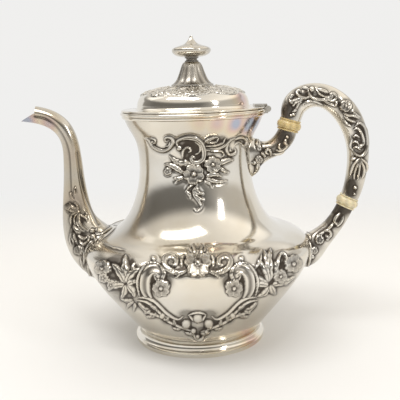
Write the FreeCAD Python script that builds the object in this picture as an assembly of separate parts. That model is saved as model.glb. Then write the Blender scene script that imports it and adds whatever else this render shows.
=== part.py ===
import FreeCAD, Part
import math
import os

Vector = FreeCAD.Vector

# Silver coffee pot. Millimetres, +Z up, origin on the table under the middle of the foot.
# The spout points along -X and the handle along +X.

# Pot body
foot_height = 7.5
base_radius = 45.5
belly_radius = 86.3
belly_rise = 63.0
shoulder_radius = 66.3
shoulder_rise = 15.1
neck_radius = 41.8
neck_drop = 38.0
rim_height = 175.0
rim_radius = 52.6
body_wall = 1.0
neck_seam_drop = 33.0

# Slopes of the body outline, in degrees from level, and how far each curve holds its slope
base_slope = 54.4
shoulder_slope = 163.3
rim_slope = 79.0
base_hold = 24.7
under_belly_hold = 15.3
over_belly_hold = 11.0
shoulder_outer_hold = 5.2
shoulder_inner_hold = 15.4
neck_lower_hold = 22.9
neck_upper_hold = 24.0
rim_hold = 18.5

# Foot ring
foot_radius = 50.2
foot_band_height = 2.6
foot_step = 1.2
foot_lip = 0.5
foot_seat_width = 3.4
foot_wall = 1.3
foot_tread = 3.2
foot_cove_hold = 0.95

# Reeded moulding round the mouth
moulding_height = 4.9
moulding_reach = 1.7
moulding_top_reach = 0.85
lower_bead_reach = 1.3
moulding_groove_reach = 1.0

# Spout: each station is how far its middle lies beyond the belly, how far up the spout it
# is, and its half sizes in the middle plane and across it
spout_rise = 106.5
spout_wall = 1.2
spout_stations = [
    (-20.3, -0.07, 20.0, 24.0),
    (-4.0, 0.06, 18.6, 18.0),
    (2.9, 0.20, 13.9, 12.2),
    (5.0, 0.335, 10.6, 9.2),
    (5.6, 0.485, 8.3, 7.6),
    (5.8, 0.655, 6.9, 6.6),
    (7.1, 0.78, 6.3, 6.2),
    (12.7, 0.893, 6.6, 6.1),
    (24.2, 0.963, 6.5, 6.1),
    (48.0, 1.0, 6.0, 6.0),
]
spout_root_slope = 159.0
spout_tip_slope = 174.0
spout_lip_reach = 41.7
spout_lip_drop = 6.4
spout_mouth_slope = 28.3
spout_beak_reach = 30.5
pour_hole_radius = 9.0
pour_hole_drop = 1.5

# Insulating rings in the handle
insulator_length = 8.6
insulator_collar = 1.0
insulator_bulge = 2.0
tenon_radius = 4.2
tenon_length = 9.0
tenon_clearance = 0.05
upper_insulator_reach = 29.7
upper_insulator_rise = 24.7
upper_insulator_tilt = 16.0
upper_insulator_radius = 9.2
upper_collar_radius = 8.1
lower_insulator_reach = 29.6
lower_insulator_rise = 31.3
lower_insulator_tilt = 25.0
lower_insulator_radius = 8.6
lower_collar_radius = 7.4

# Grip: each station is its place along and beside the line from the upper to the lower ring,
# in lengths of that line, and its half sizes in the middle plane and across it. The hollow
# stops this many sections short of each end.
grip_wall = 1.2
grip_plug = 2
grip_upper_end = (7.6, 7.2)
grip_lower_end = (6.9, 6.6)
grip_stations = [
    (-0.121, 0.159, 9.2, 7.9),
    (-0.071, 0.392, 8.8, 8.0),
    (0.108, 0.502, 9.0, 8.0),
    (0.324, 0.518, 9.2, 8.0),
    (0.631, 0.403, 8.3, 7.6),
    (0.832, 0.233, 7.6, 7.1),
]

# Sockets: each station is how far out from the neck or belly it lies, how far above the
# narrowest or widest place, and its half sizes in the middle plane and across it
upper_socket_end = (7.2, 6.9)
upper_socket_stations = [
    (-6.0, 2.2, 19.2, 8.6),
    (3.2, 4.2, 13.2, 8.0),
    (10.6, 5.6, 8.0, 7.2),
    (21.6, 10.2, 7.2, 6.9),
]
lower_socket_end = (6.4, 6.2)
lower_socket_stations = [
    (17.7, 11.6, 7.1, 6.8),
    (7.2, 1.0, 9.6, 8.6),
    (-4.5, -8.0, 12.0, 10.0),
    (-16.0, -14.0, 7.0, 8.0),
]
lower_socket_root_slope = 217.0

# Cross pins that hold the tenons, and how far each lies from its end of the joint
cross_pin_radius = 0.9
cross_pin_clearance = 0.02
cross_pin_depth = 4.6
cross_pin_sink = 0.15

# Hinge
hinge_reach = 2.4
hinge_drop = 0.4
knuckle_radius = 2.3
hinge_pin_radius = 1.1
hinge_pin_clearance = 0.05
hinge_pin_seat = 0.02
hinge_pin_overhang = 0.3
middle_knuckle_length = 6.0
side_knuckle_length = 5.0
knuckle_gap = 0.15
hinge_clearance = 0.35
hinge_bracket_drop = 3.2
lid_leaf_length = 7.0
lid_leaf_thickness = 1.5

# Lid
lid_gap = 0.3
lid_wall = 1.0
lid_overhang = 0.9
lid_flange_thickness = 1.3
lid_cove = 2.9
lid_dome_radius = 41.6
lid_dome_lean = 1.1
lid_dome_rise = 17.7
lid_side_hold = 8.5
lid_top_hold = 19.5
lid_top_fall = 3.0
bezel_depth = 4.8
bezel_wall = 1.1
bezel_clearance = 0.45

# Finial
finial_seat_margin = 0.7
finial_base_radius = 15.6
finial_base_lip = 0.9
finial_base_height = 17.2
finial_waist_radius = 9.7
finial_waist_rise = 9.2
finial_neck_radius = 5.1
finial_lip_slope = 150.0
finial_waist_slope = 112.0
finial_neck_slope = 165.0
finial_flare_hold = 4.1
finial_neck_hold = 2.5
flute_count = 14
flute_radius = 1.7
flute_depth = 0.5
collar_height = 3.4
collar_waist_radius = 4.0
collar_edge = 0.8
knob_radius = 14.6
knob_equator_rise = 4.8
knob_under_hold = 5.4
knob_side_hold = 2.4
spire_radius = 4.7
spire_rise = 10.5
spire_tip_radius = 1.0
spire_foot_slope = 143.6
spire_tip_slope = 105.0
spire_hold = 1.95
knob_height = 15.0
stud_radius = 2.0
stud_clearance = 0.05
stud_grip = 6.0
washer_radius = 7.0
washer_thickness = 1.0
nut_sides = 6
nut_across_flats = 7.0
nut_height = 3.0
stud_end = 0.6

# Heights and places that follow from the sizes above
belly_height = foot_height + belly_rise
shoulder_height = belly_height + shoulder_rise
neck_height = rim_height - neck_drop
lid_bottom = rim_height + lid_gap
flange_top = lid_bottom + lid_flange_thickness
lid_top = lid_bottom + lid_dome_rise
base_top = lid_top + finial_base_height
collar_top = base_top + collar_height
spout_tip_height = belly_height + spout_rise
lid_flange_radius = rim_radius + lid_overhang
finial_seat_radius = finial_base_radius + finial_seat_margin
hinge_x = rim_radius + hinge_reach
hinge_z = rim_height - hinge_drop
hinge_half_length = middle_knuckle_length / 2 + knuckle_gap + side_knuckle_length

axis_up = Vector(0, 0, 1)
axis_across = Vector(0, 1, 0)
upright = 90.0
level_out = 0.0
level_in = 180.0
downright = 270.0
hollow_quarter = 225.0
half_section_steps = 4
section_spacing = 9.0
loft_degree = 3
far_away = 400.0


# Drawing helpers
def at(radius, height):
    return Vector(radius, 0, height)


def heading(degrees):
    return Vector(math.cos(math.radians(degrees)), 0, math.sin(math.radians(degrees)))


def curve(start, start_slope, start_hold, end, end_slope, end_hold):
    """A smooth curve that leaves and arrives at the given slopes."""
    bezier = Part.BezierCurve()
    bezier.setPoles([start, start + heading(start_slope) * start_hold,
                     end - heading(end_slope) * end_hold, end])
    return bezier


def segment(start, end):
    return Part.LineSegment(start, end)


def inset(line, depth):
    """The same curve moved towards the axis side by a wall's depth, leg by leg of its polygon."""
    poles = line.getPoles()
    sides = []
    for before, after in zip(poles, poles[1:]):
        along = (after - before).normalize()
        sides.append(Vector(-along.z, 0, along.x))
    moved = []
    for pole, before, after in zip(poles, sides[:1] + sides, sides + sides[-1:]):
        moved.append(pole + (before + after) * (depth / (1 + before.dot(after))))
    bezier = Part.BezierCurve()
    bezier.setPoles(moved)
    return bezier


def radius_at(lines, height):
    """Radius of an outline where it crosses a height."""
    level = segment(at(0, height), at(far_away, height))
    crossings = [hit for line in lines for hit in line.intersect(level)]
    return crossings[0].X


def turned(lines):
    """Solid of revolution of a closed outline in the XZ plane."""
    wire = Part.Wire(Part.__sortEdges__([line.toShape() for line in lines]))
    return Part.Face(wire).revolve(Vector(), axis_up, 360)


def closed_to_axis(lines, bottom, top):
    """Outline from bottom to top, closed along the axis."""
    foot = at(0, bottom.z)
    head = at(0, top.z)
    return turned([segment(foot, bottom)] + lines + [segment(top, head), segment(head, foot)])


def rod(start, along, radius, length):
    return Part.makeCylinder(radius, length, start, along)


def cross_rod(place, radius, half_length):
    return rod(place - axis_across * half_length, axis_across, radius, 2 * half_length)


def block(low, high):
    return Part.makeBox(high.x - low.x, high.y - low.y, high.z - low.z, low)


def half_oval(middle, along, half_depth, half_width, side):
    """Half of an oval square to the path, from its front to its back, on one side of the pot."""
    depth = Vector(-along.z, 0, along.x)
    points = []
    for step in range(half_section_steps + 1):
        turn = math.pi * step / half_section_steps
        offset = depth * (half_depth * math.cos(turn)) + axis_across * (side * half_width * math.sin(turn))
        points.append(middle + offset)
    spline = Part.BSplineCurve()
    spline.interpolate(Points=points, InitialTangent=axis_across * side, FinalTangent=axis_across * -side)
    return spline.toShape()


def smooth(values, places, first_along=None, last_along=None):
    """A smooth curve that takes each value at its place along the path."""
    spline = Part.BSplineCurve()
    if first_along is None:
        spline.interpolate(Points=values, Parameters=places)
    else:
        spline.interpolate(Points=values, Parameters=places, Scale=False, InitialTangent=first_along,
                           FinalTangent=last_along)
    return spline


def even_stations(stations, first_along, last_along):
    """Evenly spaced (middle, heading, half_depth, half_width) along the path through the stations."""
    places = [0.0]
    for before, after in zip(stations, stations[1:]):
        places.append(places[-1] + (after[0] - before[0]).Length)
    path = smooth([station[0] for station in stations], places, first_along, last_along)
    sizes = smooth([Vector(half_depth, half_width, place)
                    for (middle, half_depth, half_width), place in zip(stations, places)], places)
    count = max(len(stations), round(places[-1] / section_spacing))
    evenly = []
    for step in range(count + 1):
        place = path.parameterAtDistance(path.length() * step / count)
        size = sizes.value(place)
        evenly.append((path.value(place), path.tangent(place)[0], size.x, size.y))
    return evenly


def bar(sections):
    """Solid through ovals square to a path."""
    wires = []
    for middle, along, half_depth, half_width in sections:
        wires.append(Part.Wire([half_oval(middle, along, half_depth, half_width, 1),
                                half_oval(middle, along, half_depth, half_width, -1)]))
    return Part.makeLoft(wires, True, False, False, loft_degree)


def half_bar(sections):
    """The left half of such a solid, flat along the middle plane."""
    wires = []
    for middle, along, half_depth, half_width in sections:
        outer = half_oval(middle, along, half_depth, half_width, -1)
        flat = Part.makeLine(outer.lastVertex().Point, outer.firstVertex().Point)
        wires.append(Part.Wire([outer, flat]))
    return Part.makeLoft(wires, True, False, False, loft_degree)


def thinner(sections, wall):
    return [(middle, along, half_depth - wall, half_width - wall)
            for middle, along, half_depth, half_width in sections]


def mirrored(solid):
    """The same piece on the other side of the middle plane."""
    return solid.mirror(Vector(), axis_across)


def one_solid(shape):
    """The largest solid of a cut's result."""
    return max(shape.Solids, key=lambda solid: solid.Volume)


# Pot body
def body_outline():
    base = at(base_radius, foot_height)
    belly = at(belly_radius, belly_height)
    shoulder = at(shoulder_radius, shoulder_height)
    neck = at(neck_radius, neck_height)
    rim = at(rim_radius, rim_height)
    return [
        curve(base, base_slope, base_hold, belly, upright, under_belly_hold),
        curve(belly, upright, over_belly_hold, shoulder, shoulder_slope, shoulder_outer_hold),
        curve(shoulder, shoulder_slope, shoulder_inner_hold, neck, upright, neck_lower_hold),
        curve(neck, upright, neck_upper_hold, rim, rim_slope, rim_hold),
    ]


def filled_outline(lines):
    return closed_to_axis(lines, lines[0].value(lines[0].FirstParameter),
                          lines[-1].value(lines[-1].LastParameter))


outer_lines = body_outline()
inner_lines = [inset(line, body_wall) for line in outer_lines]
body_envelope = filled_outline(outer_lines)
room_above_floor = block(Vector(-far_away, -far_away, foot_height + body_wall),
                         Vector(far_away, far_away, far_away))
body_cavity = filled_outline(inner_lines).common(room_above_floor)


def make_body_sections():
    """Bowl, shoulder and neck, soldered together at the belly and above the shoulder."""
    hole_middle = Vector(0, 0, belly_height - pour_hole_drop)
    pour_hole = rod(hole_middle, Vector(-1, 0, 0), pour_hole_radius, far_away)
    wall = body_envelope.cut(body_cavity).cut(pour_hole)
    seams = [0.0, belly_height, neck_height - neck_seam_drop, far_away]
    sections = []
    for low, high in zip(seams, seams[1:]):
        level = block(Vector(-far_away, -far_away, low), Vector(far_away, far_away, high))
        sections.append(one_solid(wall.common(level)))
    return sections


def make_foot_ring():
    waist_radius = base_radius + foot_lip
    seat_radius = waist_radius - foot_seat_width
    step_radius = foot_radius - foot_step
    tread_radius = foot_radius - foot_tread
    band = at(foot_radius, foot_band_height)
    step = at(step_radius, foot_band_height + foot_step / 2)
    waist = at(waist_radius, foot_height)
    seat = at(seat_radius, foot_height)
    seat_under = at(seat_radius, foot_height - foot_wall)
    tread_top = at(tread_radius, foot_wall)
    outside = curve(step, level_in, foot_cove_hold, waist, upright, foot_band_height)
    inside = curve(seat_under, downright, foot_band_height, tread_top, level_out, foot_wall)
    return turned([
        segment(at(tread_radius, 0), at(foot_radius, 0)), segment(at(foot_radius, 0), band),
        segment(band, step), outside, segment(waist, seat), segment(seat, seat_under),
        inside, segment(tread_top, at(tread_radius, 0)),
    ])


def make_rim_moulding():
    bottom = rim_height - moulding_height
    middle = rim_height - moulding_height / 2
    lower_radius = radius_at(outer_lines, bottom)
    middle_radius = radius_at(outer_lines, middle)
    groove = at(middle_radius + moulding_groove_reach, middle)
    lower_bead = Part.Arc(at(lower_radius, bottom),
                          at(middle_radius + lower_bead_reach, (bottom + middle) / 2), groove)
    top = at(rim_radius + moulding_top_reach, rim_height)
    upper_bead = Part.Arc(groove, at(rim_radius + moulding_reach, (middle + rim_height) / 2), top)
    inner_top = at(rim_radius - body_wall, rim_height)
    inner_bottom = at(lower_radius - body_wall, bottom)
    ring = turned([lower_bead, upper_bead, segment(top, inner_top),
                   segment(inner_top, inner_bottom), segment(inner_bottom, at(lower_radius, bottom))])
    return one_solid(ring.cut(body_envelope).cut(hinge_notch()))


# Spout
def spout_sections():
    stations = []
    for out, share, half_depth, half_width in spout_stations:
        middle = Vector(-(belly_radius + out), 0, belly_height + share * spout_rise)
        stations.append((middle, half_depth, half_width))
    return even_stations(stations, heading(spout_root_slope), heading(spout_tip_slope))


def beyond_mouth():
    """Everything above the slanting lower lip and past the upright end of the upper lip."""
    lip = Vector(-(belly_radius + spout_lip_reach), 0, spout_tip_height - spout_lip_drop)
    space = block(Vector(-far_away, -far_away, 0), Vector(far_away, far_away, far_away))
    space.rotate(Vector(), axis_across, -spout_mouth_slope)
    space.translate(lip)
    beak_end = -(belly_radius + spout_beak_reach)
    return space.common(block(Vector(-far_away, -far_away, 0), Vector(beak_end, far_away, far_away)))


def make_spout_halves():
    sections = spout_sections()
    outside = one_solid(half_bar(sections).cut(body_envelope))
    left = one_solid(one_solid(outside.cut(beyond_mouth())).cut(bar(thinner(sections, spout_wall))))
    return left, mirrored(left)


# Handle
def tilted(degrees):
    return heading(upright - degrees)


upper_ring = Vector(neck_radius + upper_insulator_reach, 0, neck_height + upper_insulator_rise)
lower_ring = Vector(belly_radius + lower_insulator_reach, 0, belly_height + lower_insulator_rise)
upper_along = tilted(upper_insulator_tilt)
lower_along = tilted(lower_insulator_tilt)
half_ring = insulator_length / 2
grip_start = upper_ring + upper_along * half_ring
grip_end = lower_ring + lower_along * half_ring
upper_socket_face = upper_ring - upper_along * half_ring
lower_socket_face = lower_ring - lower_along * half_ring


def tenon_bore(face, along):
    return rod(face, along, tenon_radius + tenon_clearance, tenon_length + cross_pin_radius)


def grip_sections():
    line = lower_ring - upper_ring
    beside = Vector(-line.z, 0, line.x)
    stations = [(grip_start,) + grip_upper_end]
    for along, out, half_depth, half_width in grip_stations:
        stations.append((upper_ring + line * along + beside * out, half_depth, half_width))
    stations.append((grip_end,) + grip_lower_end)
    return even_stations(stations, upper_along, lower_along * -1)


def make_handle_halves(pin_holes):
    sections = grip_sections()
    hollow = bar(thinner(sections[grip_plug:-grip_plug], grip_wall))
    grip = one_solid(half_bar(sections).cut(hollow))
    grip = grip.cut(tenon_bore(grip_start, upper_along)).cut(tenon_bore(grip_end, lower_along))
    left = one_solid(grip.cut(pin_holes))
    return left, mirrored(left)


def make_upper_socket(pin_holes):
    stations = []
    for out, rise, half_depth, half_width in upper_socket_stations:
        stations.append((at(neck_radius + out, neck_height + rise), half_depth, half_width))
    stations.append((upper_socket_face, upper_socket_end[0], upper_socket_end[1]))
    socket = bar(even_stations(stations, Vector(1, 0, 0), upper_along))
    socket = socket.cut(body_envelope).cut(tenon_bore(upper_socket_face, upper_along * -1))
    return one_solid(socket.cut(pin_holes))


def make_lower_socket(pin_holes):
    stations = [(lower_socket_face, lower_socket_end[0], lower_socket_end[1])]
    for out, rise, half_depth, half_width in lower_socket_stations:
        stations.append((at(belly_radius + out, belly_height + rise), half_depth, half_width))
    socket = bar(even_stations(stations, lower_along * -1, heading(lower_socket_root_slope)))
    socket = socket.cut(body_envelope).cut(tenon_bore(lower_socket_face, lower_along * -1))
    return one_solid(socket.cut(pin_holes))


def make_insulator(ring, tilt, radius, collar_radius, pin_holes):
    """Barrel ring with a thin collar at each face and a tenon each way."""
    flat = half_ring - insulator_collar
    crown = radius - insulator_bulge
    outline = [
        segment(at(0, -half_ring), at(collar_radius, -half_ring)),
        segment(at(collar_radius, -half_ring), at(collar_radius, -flat)),
        segment(at(collar_radius, -flat), at(crown, -flat)),
        Part.Arc(at(crown, -flat), at(radius, 0), at(crown, flat)),
        segment(at(crown, flat), at(collar_radius, flat)),
        segment(at(collar_radius, flat), at(collar_radius, half_ring)),
        segment(at(collar_radius, half_ring), at(0, half_ring)),
        segment(at(0, half_ring), at(0, -half_ring)),
    ]
    reach = half_ring + tenon_length
    solid = turned(outline).fuse(rod(at(0, -reach), axis_up, tenon_radius, 2 * reach)).removeSplitter()
    solid.rotate(Vector(), axis_across, tilt)
    solid.translate(ring)
    return one_solid(solid.cut(pin_holes))


def cross_pin_places():
    """Middle and half length of each cross pin."""
    return [
        (upper_socket_face - upper_along * cross_pin_depth, upper_socket_end[1]),
        (grip_start + upper_along * cross_pin_depth, grip_upper_end[1]),
        (grip_end + lower_along * cross_pin_depth, grip_lower_end[1]),
        (lower_socket_face - lower_along * cross_pin_depth, lower_socket_end[1]),
    ]


def make_cross_pins(clearance, sink):
    return Part.Compound([cross_rod(place, cross_pin_radius + clearance, half_width - sink)
                          for place, half_width in cross_pin_places()])


# Hinge
def hinge_rod(radius, middle, length):
    return cross_rod(Vector(hinge_x, middle, hinge_z), radius, length / 2)


def hinge_notch():
    """Room for the hinge cut out of the moulding."""
    half = hinge_half_length + hinge_clearance
    return block(Vector(0, -half, hinge_z - hinge_bracket_drop),
                 Vector(far_away, half, rim_height + hinge_clearance))


def make_hinge_leaf_pot():
    side_middle = hinge_half_length - side_knuckle_length / 2
    bracket = block(Vector(neck_radius, -hinge_half_length, hinge_z - hinge_bracket_drop),
                    Vector(hinge_x, hinge_half_length, hinge_z))
    leaf = bracket.cut(hinge_rod(knuckle_radius + hinge_clearance, 0,
                                 middle_knuckle_length + 2 * knuckle_gap))
    for side in (-1, 1):
        leaf = leaf.fuse(hinge_rod(knuckle_radius, side * side_middle, side_knuckle_length))
    room = block(Vector(0, -middle_knuckle_length / 2 - knuckle_gap, hinge_z - hinge_clearance),
                 Vector(hinge_x, middle_knuckle_length / 2 + knuckle_gap, rim_height))
    bore = hinge_rod(hinge_pin_radius + hinge_pin_seat, 0, far_away)
    return one_solid(leaf.cut(room).cut(bore).cut(body_envelope).removeSplitter())


def make_hinge_leaf_lid():
    half_tongue = middle_knuckle_length / 2
    leaf_end = hinge_x - knuckle_radius - hinge_clearance
    plate = block(Vector(leaf_end - lid_leaf_length, -hinge_half_length, flange_top),
                  Vector(leaf_end, hinge_half_length, flange_top + lid_leaf_thickness))
    tongue = block(Vector(leaf_end, -half_tongue, flange_top),
                   Vector(hinge_x, half_tongue, flange_top + lid_leaf_thickness))
    web = block(Vector(hinge_x - knuckle_radius + hinge_clearance, -half_tongue, hinge_z),
                Vector(hinge_x, half_tongue, flange_top))
    knuckle = hinge_rod(knuckle_radius, 0, middle_knuckle_length)
    leaf = plate.fuse([tongue, web, knuckle]).removeSplitter()
    bore = hinge_rod(hinge_pin_radius + hinge_pin_clearance, 0, far_away)
    return one_solid(leaf.cut(bore))


def make_hinge_pin():
    return hinge_rod(hinge_pin_radius, 0, 2 * (hinge_half_length + hinge_pin_overhang))


# Lid
def dome_line():
    foot = at(lid_dome_radius, flange_top + lid_cove)
    seat = at(finial_seat_radius, lid_top)
    lean = math.degrees(math.atan2(lid_side_hold, -lid_dome_lean))
    fall = math.degrees(math.atan2(lid_top_fall, -lid_top_hold))
    return curve(foot, lean, lid_side_hold, seat, fall, lid_top_hold)


def stud_hole():
    return rod(Vector(), axis_up, stud_radius + stud_clearance, collar_top + stud_grip)


def make_lid_dome():
    dome = dome_line()
    foot = dome.value(dome.FirstParameter)
    seat = dome.value(dome.LastParameter)
    cove_start = at(lid_dome_radius + lid_cove, flange_top)
    cove_middle = foot + Vector(lid_cove, 0, 0) + heading(hollow_quarter) * lid_cove
    edge_radius = lid_flange_thickness / 2
    edge_bottom = at(lid_flange_radius - edge_radius, lid_bottom)
    edge_top = at(lid_flange_radius - edge_radius, flange_top)
    edge = Part.Arc(edge_bottom, at(lid_flange_radius, lid_bottom + edge_radius), edge_top)
    cove = Part.Arc(cove_start, cove_middle, foot)
    outside = closed_to_axis([edge, segment(edge_top, cove_start), cove, dome], edge_bottom, seat)
    inner_dome = inset(dome, lid_wall)
    inner_foot = inner_dome.value(inner_dome.FirstParameter)
    inner_seat = inner_dome.value(inner_dome.LastParameter)
    inner_edge = at(inner_foot.x, lid_bottom)
    roof = at(inner_seat.x, lid_top - lid_wall)
    cavity = closed_to_axis([segment(inner_edge, inner_foot), inner_dome], inner_edge, inner_seat)
    cavity = cavity.common(block(Vector(-far_away, -far_away, 0), Vector(far_away, far_away, roof.z)))
    half = hinge_half_length + hinge_clearance
    notch = block(Vector(hinge_x - knuckle_radius - hinge_clearance, -half, 0),
                  Vector(far_away, half, lid_top))
    return one_solid(outside.cut(cavity).cut(stud_hole()).cut(notch))


def make_lid_bezel():
    bottom = lid_bottom - bezel_depth
    outer_radius = radius_at(inner_lines, bottom) - bezel_clearance
    ring = rod(at(0, bottom), axis_up, outer_radius, bezel_depth)
    return ring.cut(rod(at(0, bottom), axis_up, outer_radius - bezel_wall, bezel_depth))


# Finial
def make_finial_base():
    lip = at(finial_base_radius, lid_top + finial_base_lip)
    waist = at(finial_waist_radius, lid_top + finial_waist_rise)
    neck = at(finial_neck_radius, base_top)
    flare = curve(lip, finial_lip_slope, finial_flare_hold, waist, finial_waist_slope, finial_flare_hold)
    crown = curve(waist, finial_waist_slope, finial_flare_hold, neck, finial_neck_slope, finial_neck_hold)
    bottom = at(finial_base_radius, lid_top)
    bell = closed_to_axis([segment(bottom, lip), flare, crown], bottom, neck).cut(stud_hole())
    outward = Vector(lip.z - waist.z, 0, waist.x - lip.x).normalize()
    middle = flare.value((flare.FirstParameter + flare.LastParameter) / 2)
    along = (lip - waist).normalize()
    start = middle - along * finial_waist_rise
    cutter = rod(start - outward * (flute_radius - flute_depth), along, flute_radius, finial_waist_rise * 2)
    for step in range(flute_count):
        flute = cutter.copy()
        flute.rotate(Vector(), axis_up, 360.0 * step / flute_count)
        bell = bell.cut(flute)
    return one_solid(bell)


def make_finial_collar():
    edge_radius = finial_neck_radius
    low_edge = at(edge_radius, base_top + collar_edge)
    high_edge = at(edge_radius, collar_top - collar_edge)
    waist = Part.Arc(low_edge, at(collar_waist_radius, (base_top + collar_top) / 2), high_edge)
    bottom = at(edge_radius, base_top)
    top = at(edge_radius, collar_top)
    ring = closed_to_axis([segment(bottom, low_edge), waist, segment(high_edge, top)], bottom, top)
    return ring.cut(stud_hole())


def make_finial_knob():
    bottom = at(finial_neck_radius, collar_top)
    equator = at(knob_radius, collar_top + knob_equator_rise)
    spire = at(spire_radius, collar_top + spire_rise)
    tip = at(spire_tip_radius, collar_top + knob_height)
    under = curve(bottom, level_out, knob_under_hold, equator, upright, knob_side_hold)
    over = curve(equator, upright, knob_side_hold, spire, spire_foot_slope, spire_radius)
    point = curve(spire, spire_foot_slope, spire_hold, tip, spire_tip_slope, spire_hold)
    return closed_to_axis([under, over, point], bottom, tip).cut(stud_hole())


def make_finial_stud():
    bottom = lid_top - lid_wall - washer_thickness - nut_height - stud_end
    top = collar_top + stud_grip - stud_clearance
    return rod(at(0, bottom), axis_up, stud_radius, top - bottom)


def make_finial_washer():
    bottom = at(0, lid_top - lid_wall - washer_thickness)
    return rod(bottom, axis_up, washer_radius, washer_thickness).cut(stud_hole())


def make_finial_nut():
    bottom = lid_top - lid_wall - washer_thickness - nut_height
    corner_radius = nut_across_flats / (2 * math.cos(math.pi / nut_sides))
    corners = []
    for step in range(nut_sides + 1):
        turn = 2 * math.pi * step / nut_sides
        corners.append(Vector(corner_radius * math.cos(turn), corner_radius * math.sin(turn), bottom))
    hexagon = Part.Face(Part.makePolygon(corners)).extrude(Vector(0, 0, nut_height))
    return hexagon.cut(stud_hole())


# Every piece under its own name
pin_holes = make_cross_pins(cross_pin_clearance, -cross_pin_radius)
body_bowl, body_shoulder, body_neck = make_body_sections()
spout_left_half, spout_right_half = make_spout_halves()
handle_left_half, handle_right_half = make_handle_halves(pin_holes)

pieces = {
    "body_bowl": body_bowl,
    "body_shoulder": body_shoulder,
    "body_neck": body_neck,
    "foot_ring": make_foot_ring(),
    "rim_moulding": make_rim_moulding(),
    "spout_left_half": spout_left_half,
    "spout_right_half": spout_right_half,
    "upper_socket": make_upper_socket(pin_holes),
    "lower_socket": make_lower_socket(pin_holes),
    "upper_insulator": make_insulator(upper_ring, upper_insulator_tilt, upper_insulator_radius,
                                      upper_collar_radius, pin_holes),
    "lower_insulator": make_insulator(lower_ring, lower_insulator_tilt, lower_insulator_radius,
                                      lower_collar_radius, pin_holes),
    "handle_left_half": handle_left_half,
    "handle_right_half": handle_right_half,
    "insulator_pins": make_cross_pins(0.0, cross_pin_sink),
    "hinge_leaf_pot": make_hinge_leaf_pot(),
    "hinge_pin": make_hinge_pin(),
    "lid_dome": make_lid_dome(),
    "lid_bezel": make_lid_bezel(),
    "hinge_leaf_lid": make_hinge_leaf_lid(),
    "finial_base": make_finial_base(),
    "finial_collar": make_finial_collar(),
    "finial_knob": make_finial_knob(),
    "finial_stud": make_finial_stud(),
    "finial_washer": make_finial_washer(),
    "finial_nut": make_finial_nut(),
}

os.makedirs("parts", exist_ok=True)
for name, shape in pieces.items():
    shape.exportStep("parts/" + name + ".step")
    box = shape.BoundBox
    print(name, "solids", len(shape.Solids), "valid", shape.isValid(), "volume", round(shape.Volume, 1),
          "x", round(box.XMin, 1), round(box.XMax, 1), "y", round(box.YMin, 1), round(box.YMax, 1),
          "z", round(box.ZMin, 1), round(box.ZMax, 1))
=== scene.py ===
import math
from functools import partial

import bpy
import numpy as np
from bpy.props import FloatProperty, FloatVectorProperty, IntProperty, PointerProperty
from mathutils import Matrix


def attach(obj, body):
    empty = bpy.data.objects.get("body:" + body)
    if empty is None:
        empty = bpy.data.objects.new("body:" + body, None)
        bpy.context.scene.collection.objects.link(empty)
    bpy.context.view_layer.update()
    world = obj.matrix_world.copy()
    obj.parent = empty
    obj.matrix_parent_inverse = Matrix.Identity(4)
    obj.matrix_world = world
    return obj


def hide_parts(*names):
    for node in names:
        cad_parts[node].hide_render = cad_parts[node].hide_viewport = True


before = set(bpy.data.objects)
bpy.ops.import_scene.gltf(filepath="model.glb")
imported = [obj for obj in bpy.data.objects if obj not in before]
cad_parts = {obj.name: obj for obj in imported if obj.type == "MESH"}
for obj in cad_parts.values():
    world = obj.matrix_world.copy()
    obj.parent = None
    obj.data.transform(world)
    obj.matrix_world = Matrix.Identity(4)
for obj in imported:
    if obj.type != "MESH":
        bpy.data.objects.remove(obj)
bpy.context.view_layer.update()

bl_info = {
    "name": "Silver Coffee Pot",
    "version": (1, 0, 0),
    "blender": (4, 5, 0),
    "location": "3D View > Sidebar > Coffee Pot",
    "description": "Builds an embossed silver coffee pot round its packed frame",
    "category": "Object",
}

# Sizes of the frame, in millimetres, with slopes in degrees
MILLIMETRE = 0.001
UPRIGHT = 90.0
LEVEL_IN = 180.0
LEVEL_OUT = 0.0
DOWNRIGHT = 270.0
DOWN_AND_IN = 225.0
HALF_TURN = 180.0

BASE_RADIUS = 45.5
RIM_RADIUS = 52.6
RIM_HEIGHT = 175.0
BODY_WALL = 1.0
BODY_SPLIT_HEIGHT = 104.0
FLOOR_HOLE = 0.01
FOOT_HEIGHT = 7.5
FOOT_RADIUS = 50.2
FOOT_BAND = 2.6
FOOT_STEP = 1.2
FOOT_WAIST_RADIUS = 46.0
FOOT_SEAT_RADIUS = 42.6
FOOT_WALL = 1.3
FOOT_TREAD_RADIUS = 47.0
FOOT_COVE_HOLD = 0.95
MOULDING_HEIGHT = 4.9
MOULDING_REACH = 1.7
MOULDING_TOP_REACH = 0.85
LOWER_BEAD_REACH = 1.3
MOULDING_GROOVE_REACH = 1.0
HINGE_NOTCH_START = 52.35
HINGE_NOTCH_HALF = 8.5

LID_BOTTOM = 175.3
LID_TOP = 193.0
LID_FLANGE_RADIUS = 53.5
LID_FLANGE_THICKNESS = 1.3
LID_COVE = 2.9
LID_DOME_RADIUS = 41.6
LID_DOME_LEAN = 1.1
LID_SIDE_HOLD = 8.5
LID_TOP_HOLD = 19.5
LID_TOP_FALL = 3.0
LID_WALL = 1.0
BEZEL_DEPTH = 4.8
BEZEL_WALL = 1.1
BEZEL_RADIUS = 50.0
STUD_RADIUS = 2.05
FINIAL_SEAT_RADIUS = 16.3
FINIAL_BASE_RADIUS = 15.6
FINIAL_BASE_LIP = 0.9
FINIAL_BASE_TOP = 210.2
FINIAL_NECK_RADIUS = 5.1
FINIAL_FLUTES = 12
FLUTE_DEPTH = 0.55
FLUTE_SHARPNESS = 3
FLUTE_REACH = 12.0
FLUTE_TOP_GAP = 1.0
FLUTE_LIP_FADE = 0.8
COLLAR_TOP = 213.6
COLLAR_WAIST_RADIUS = 4.0
COLLAR_EDGE = 0.8

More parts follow.
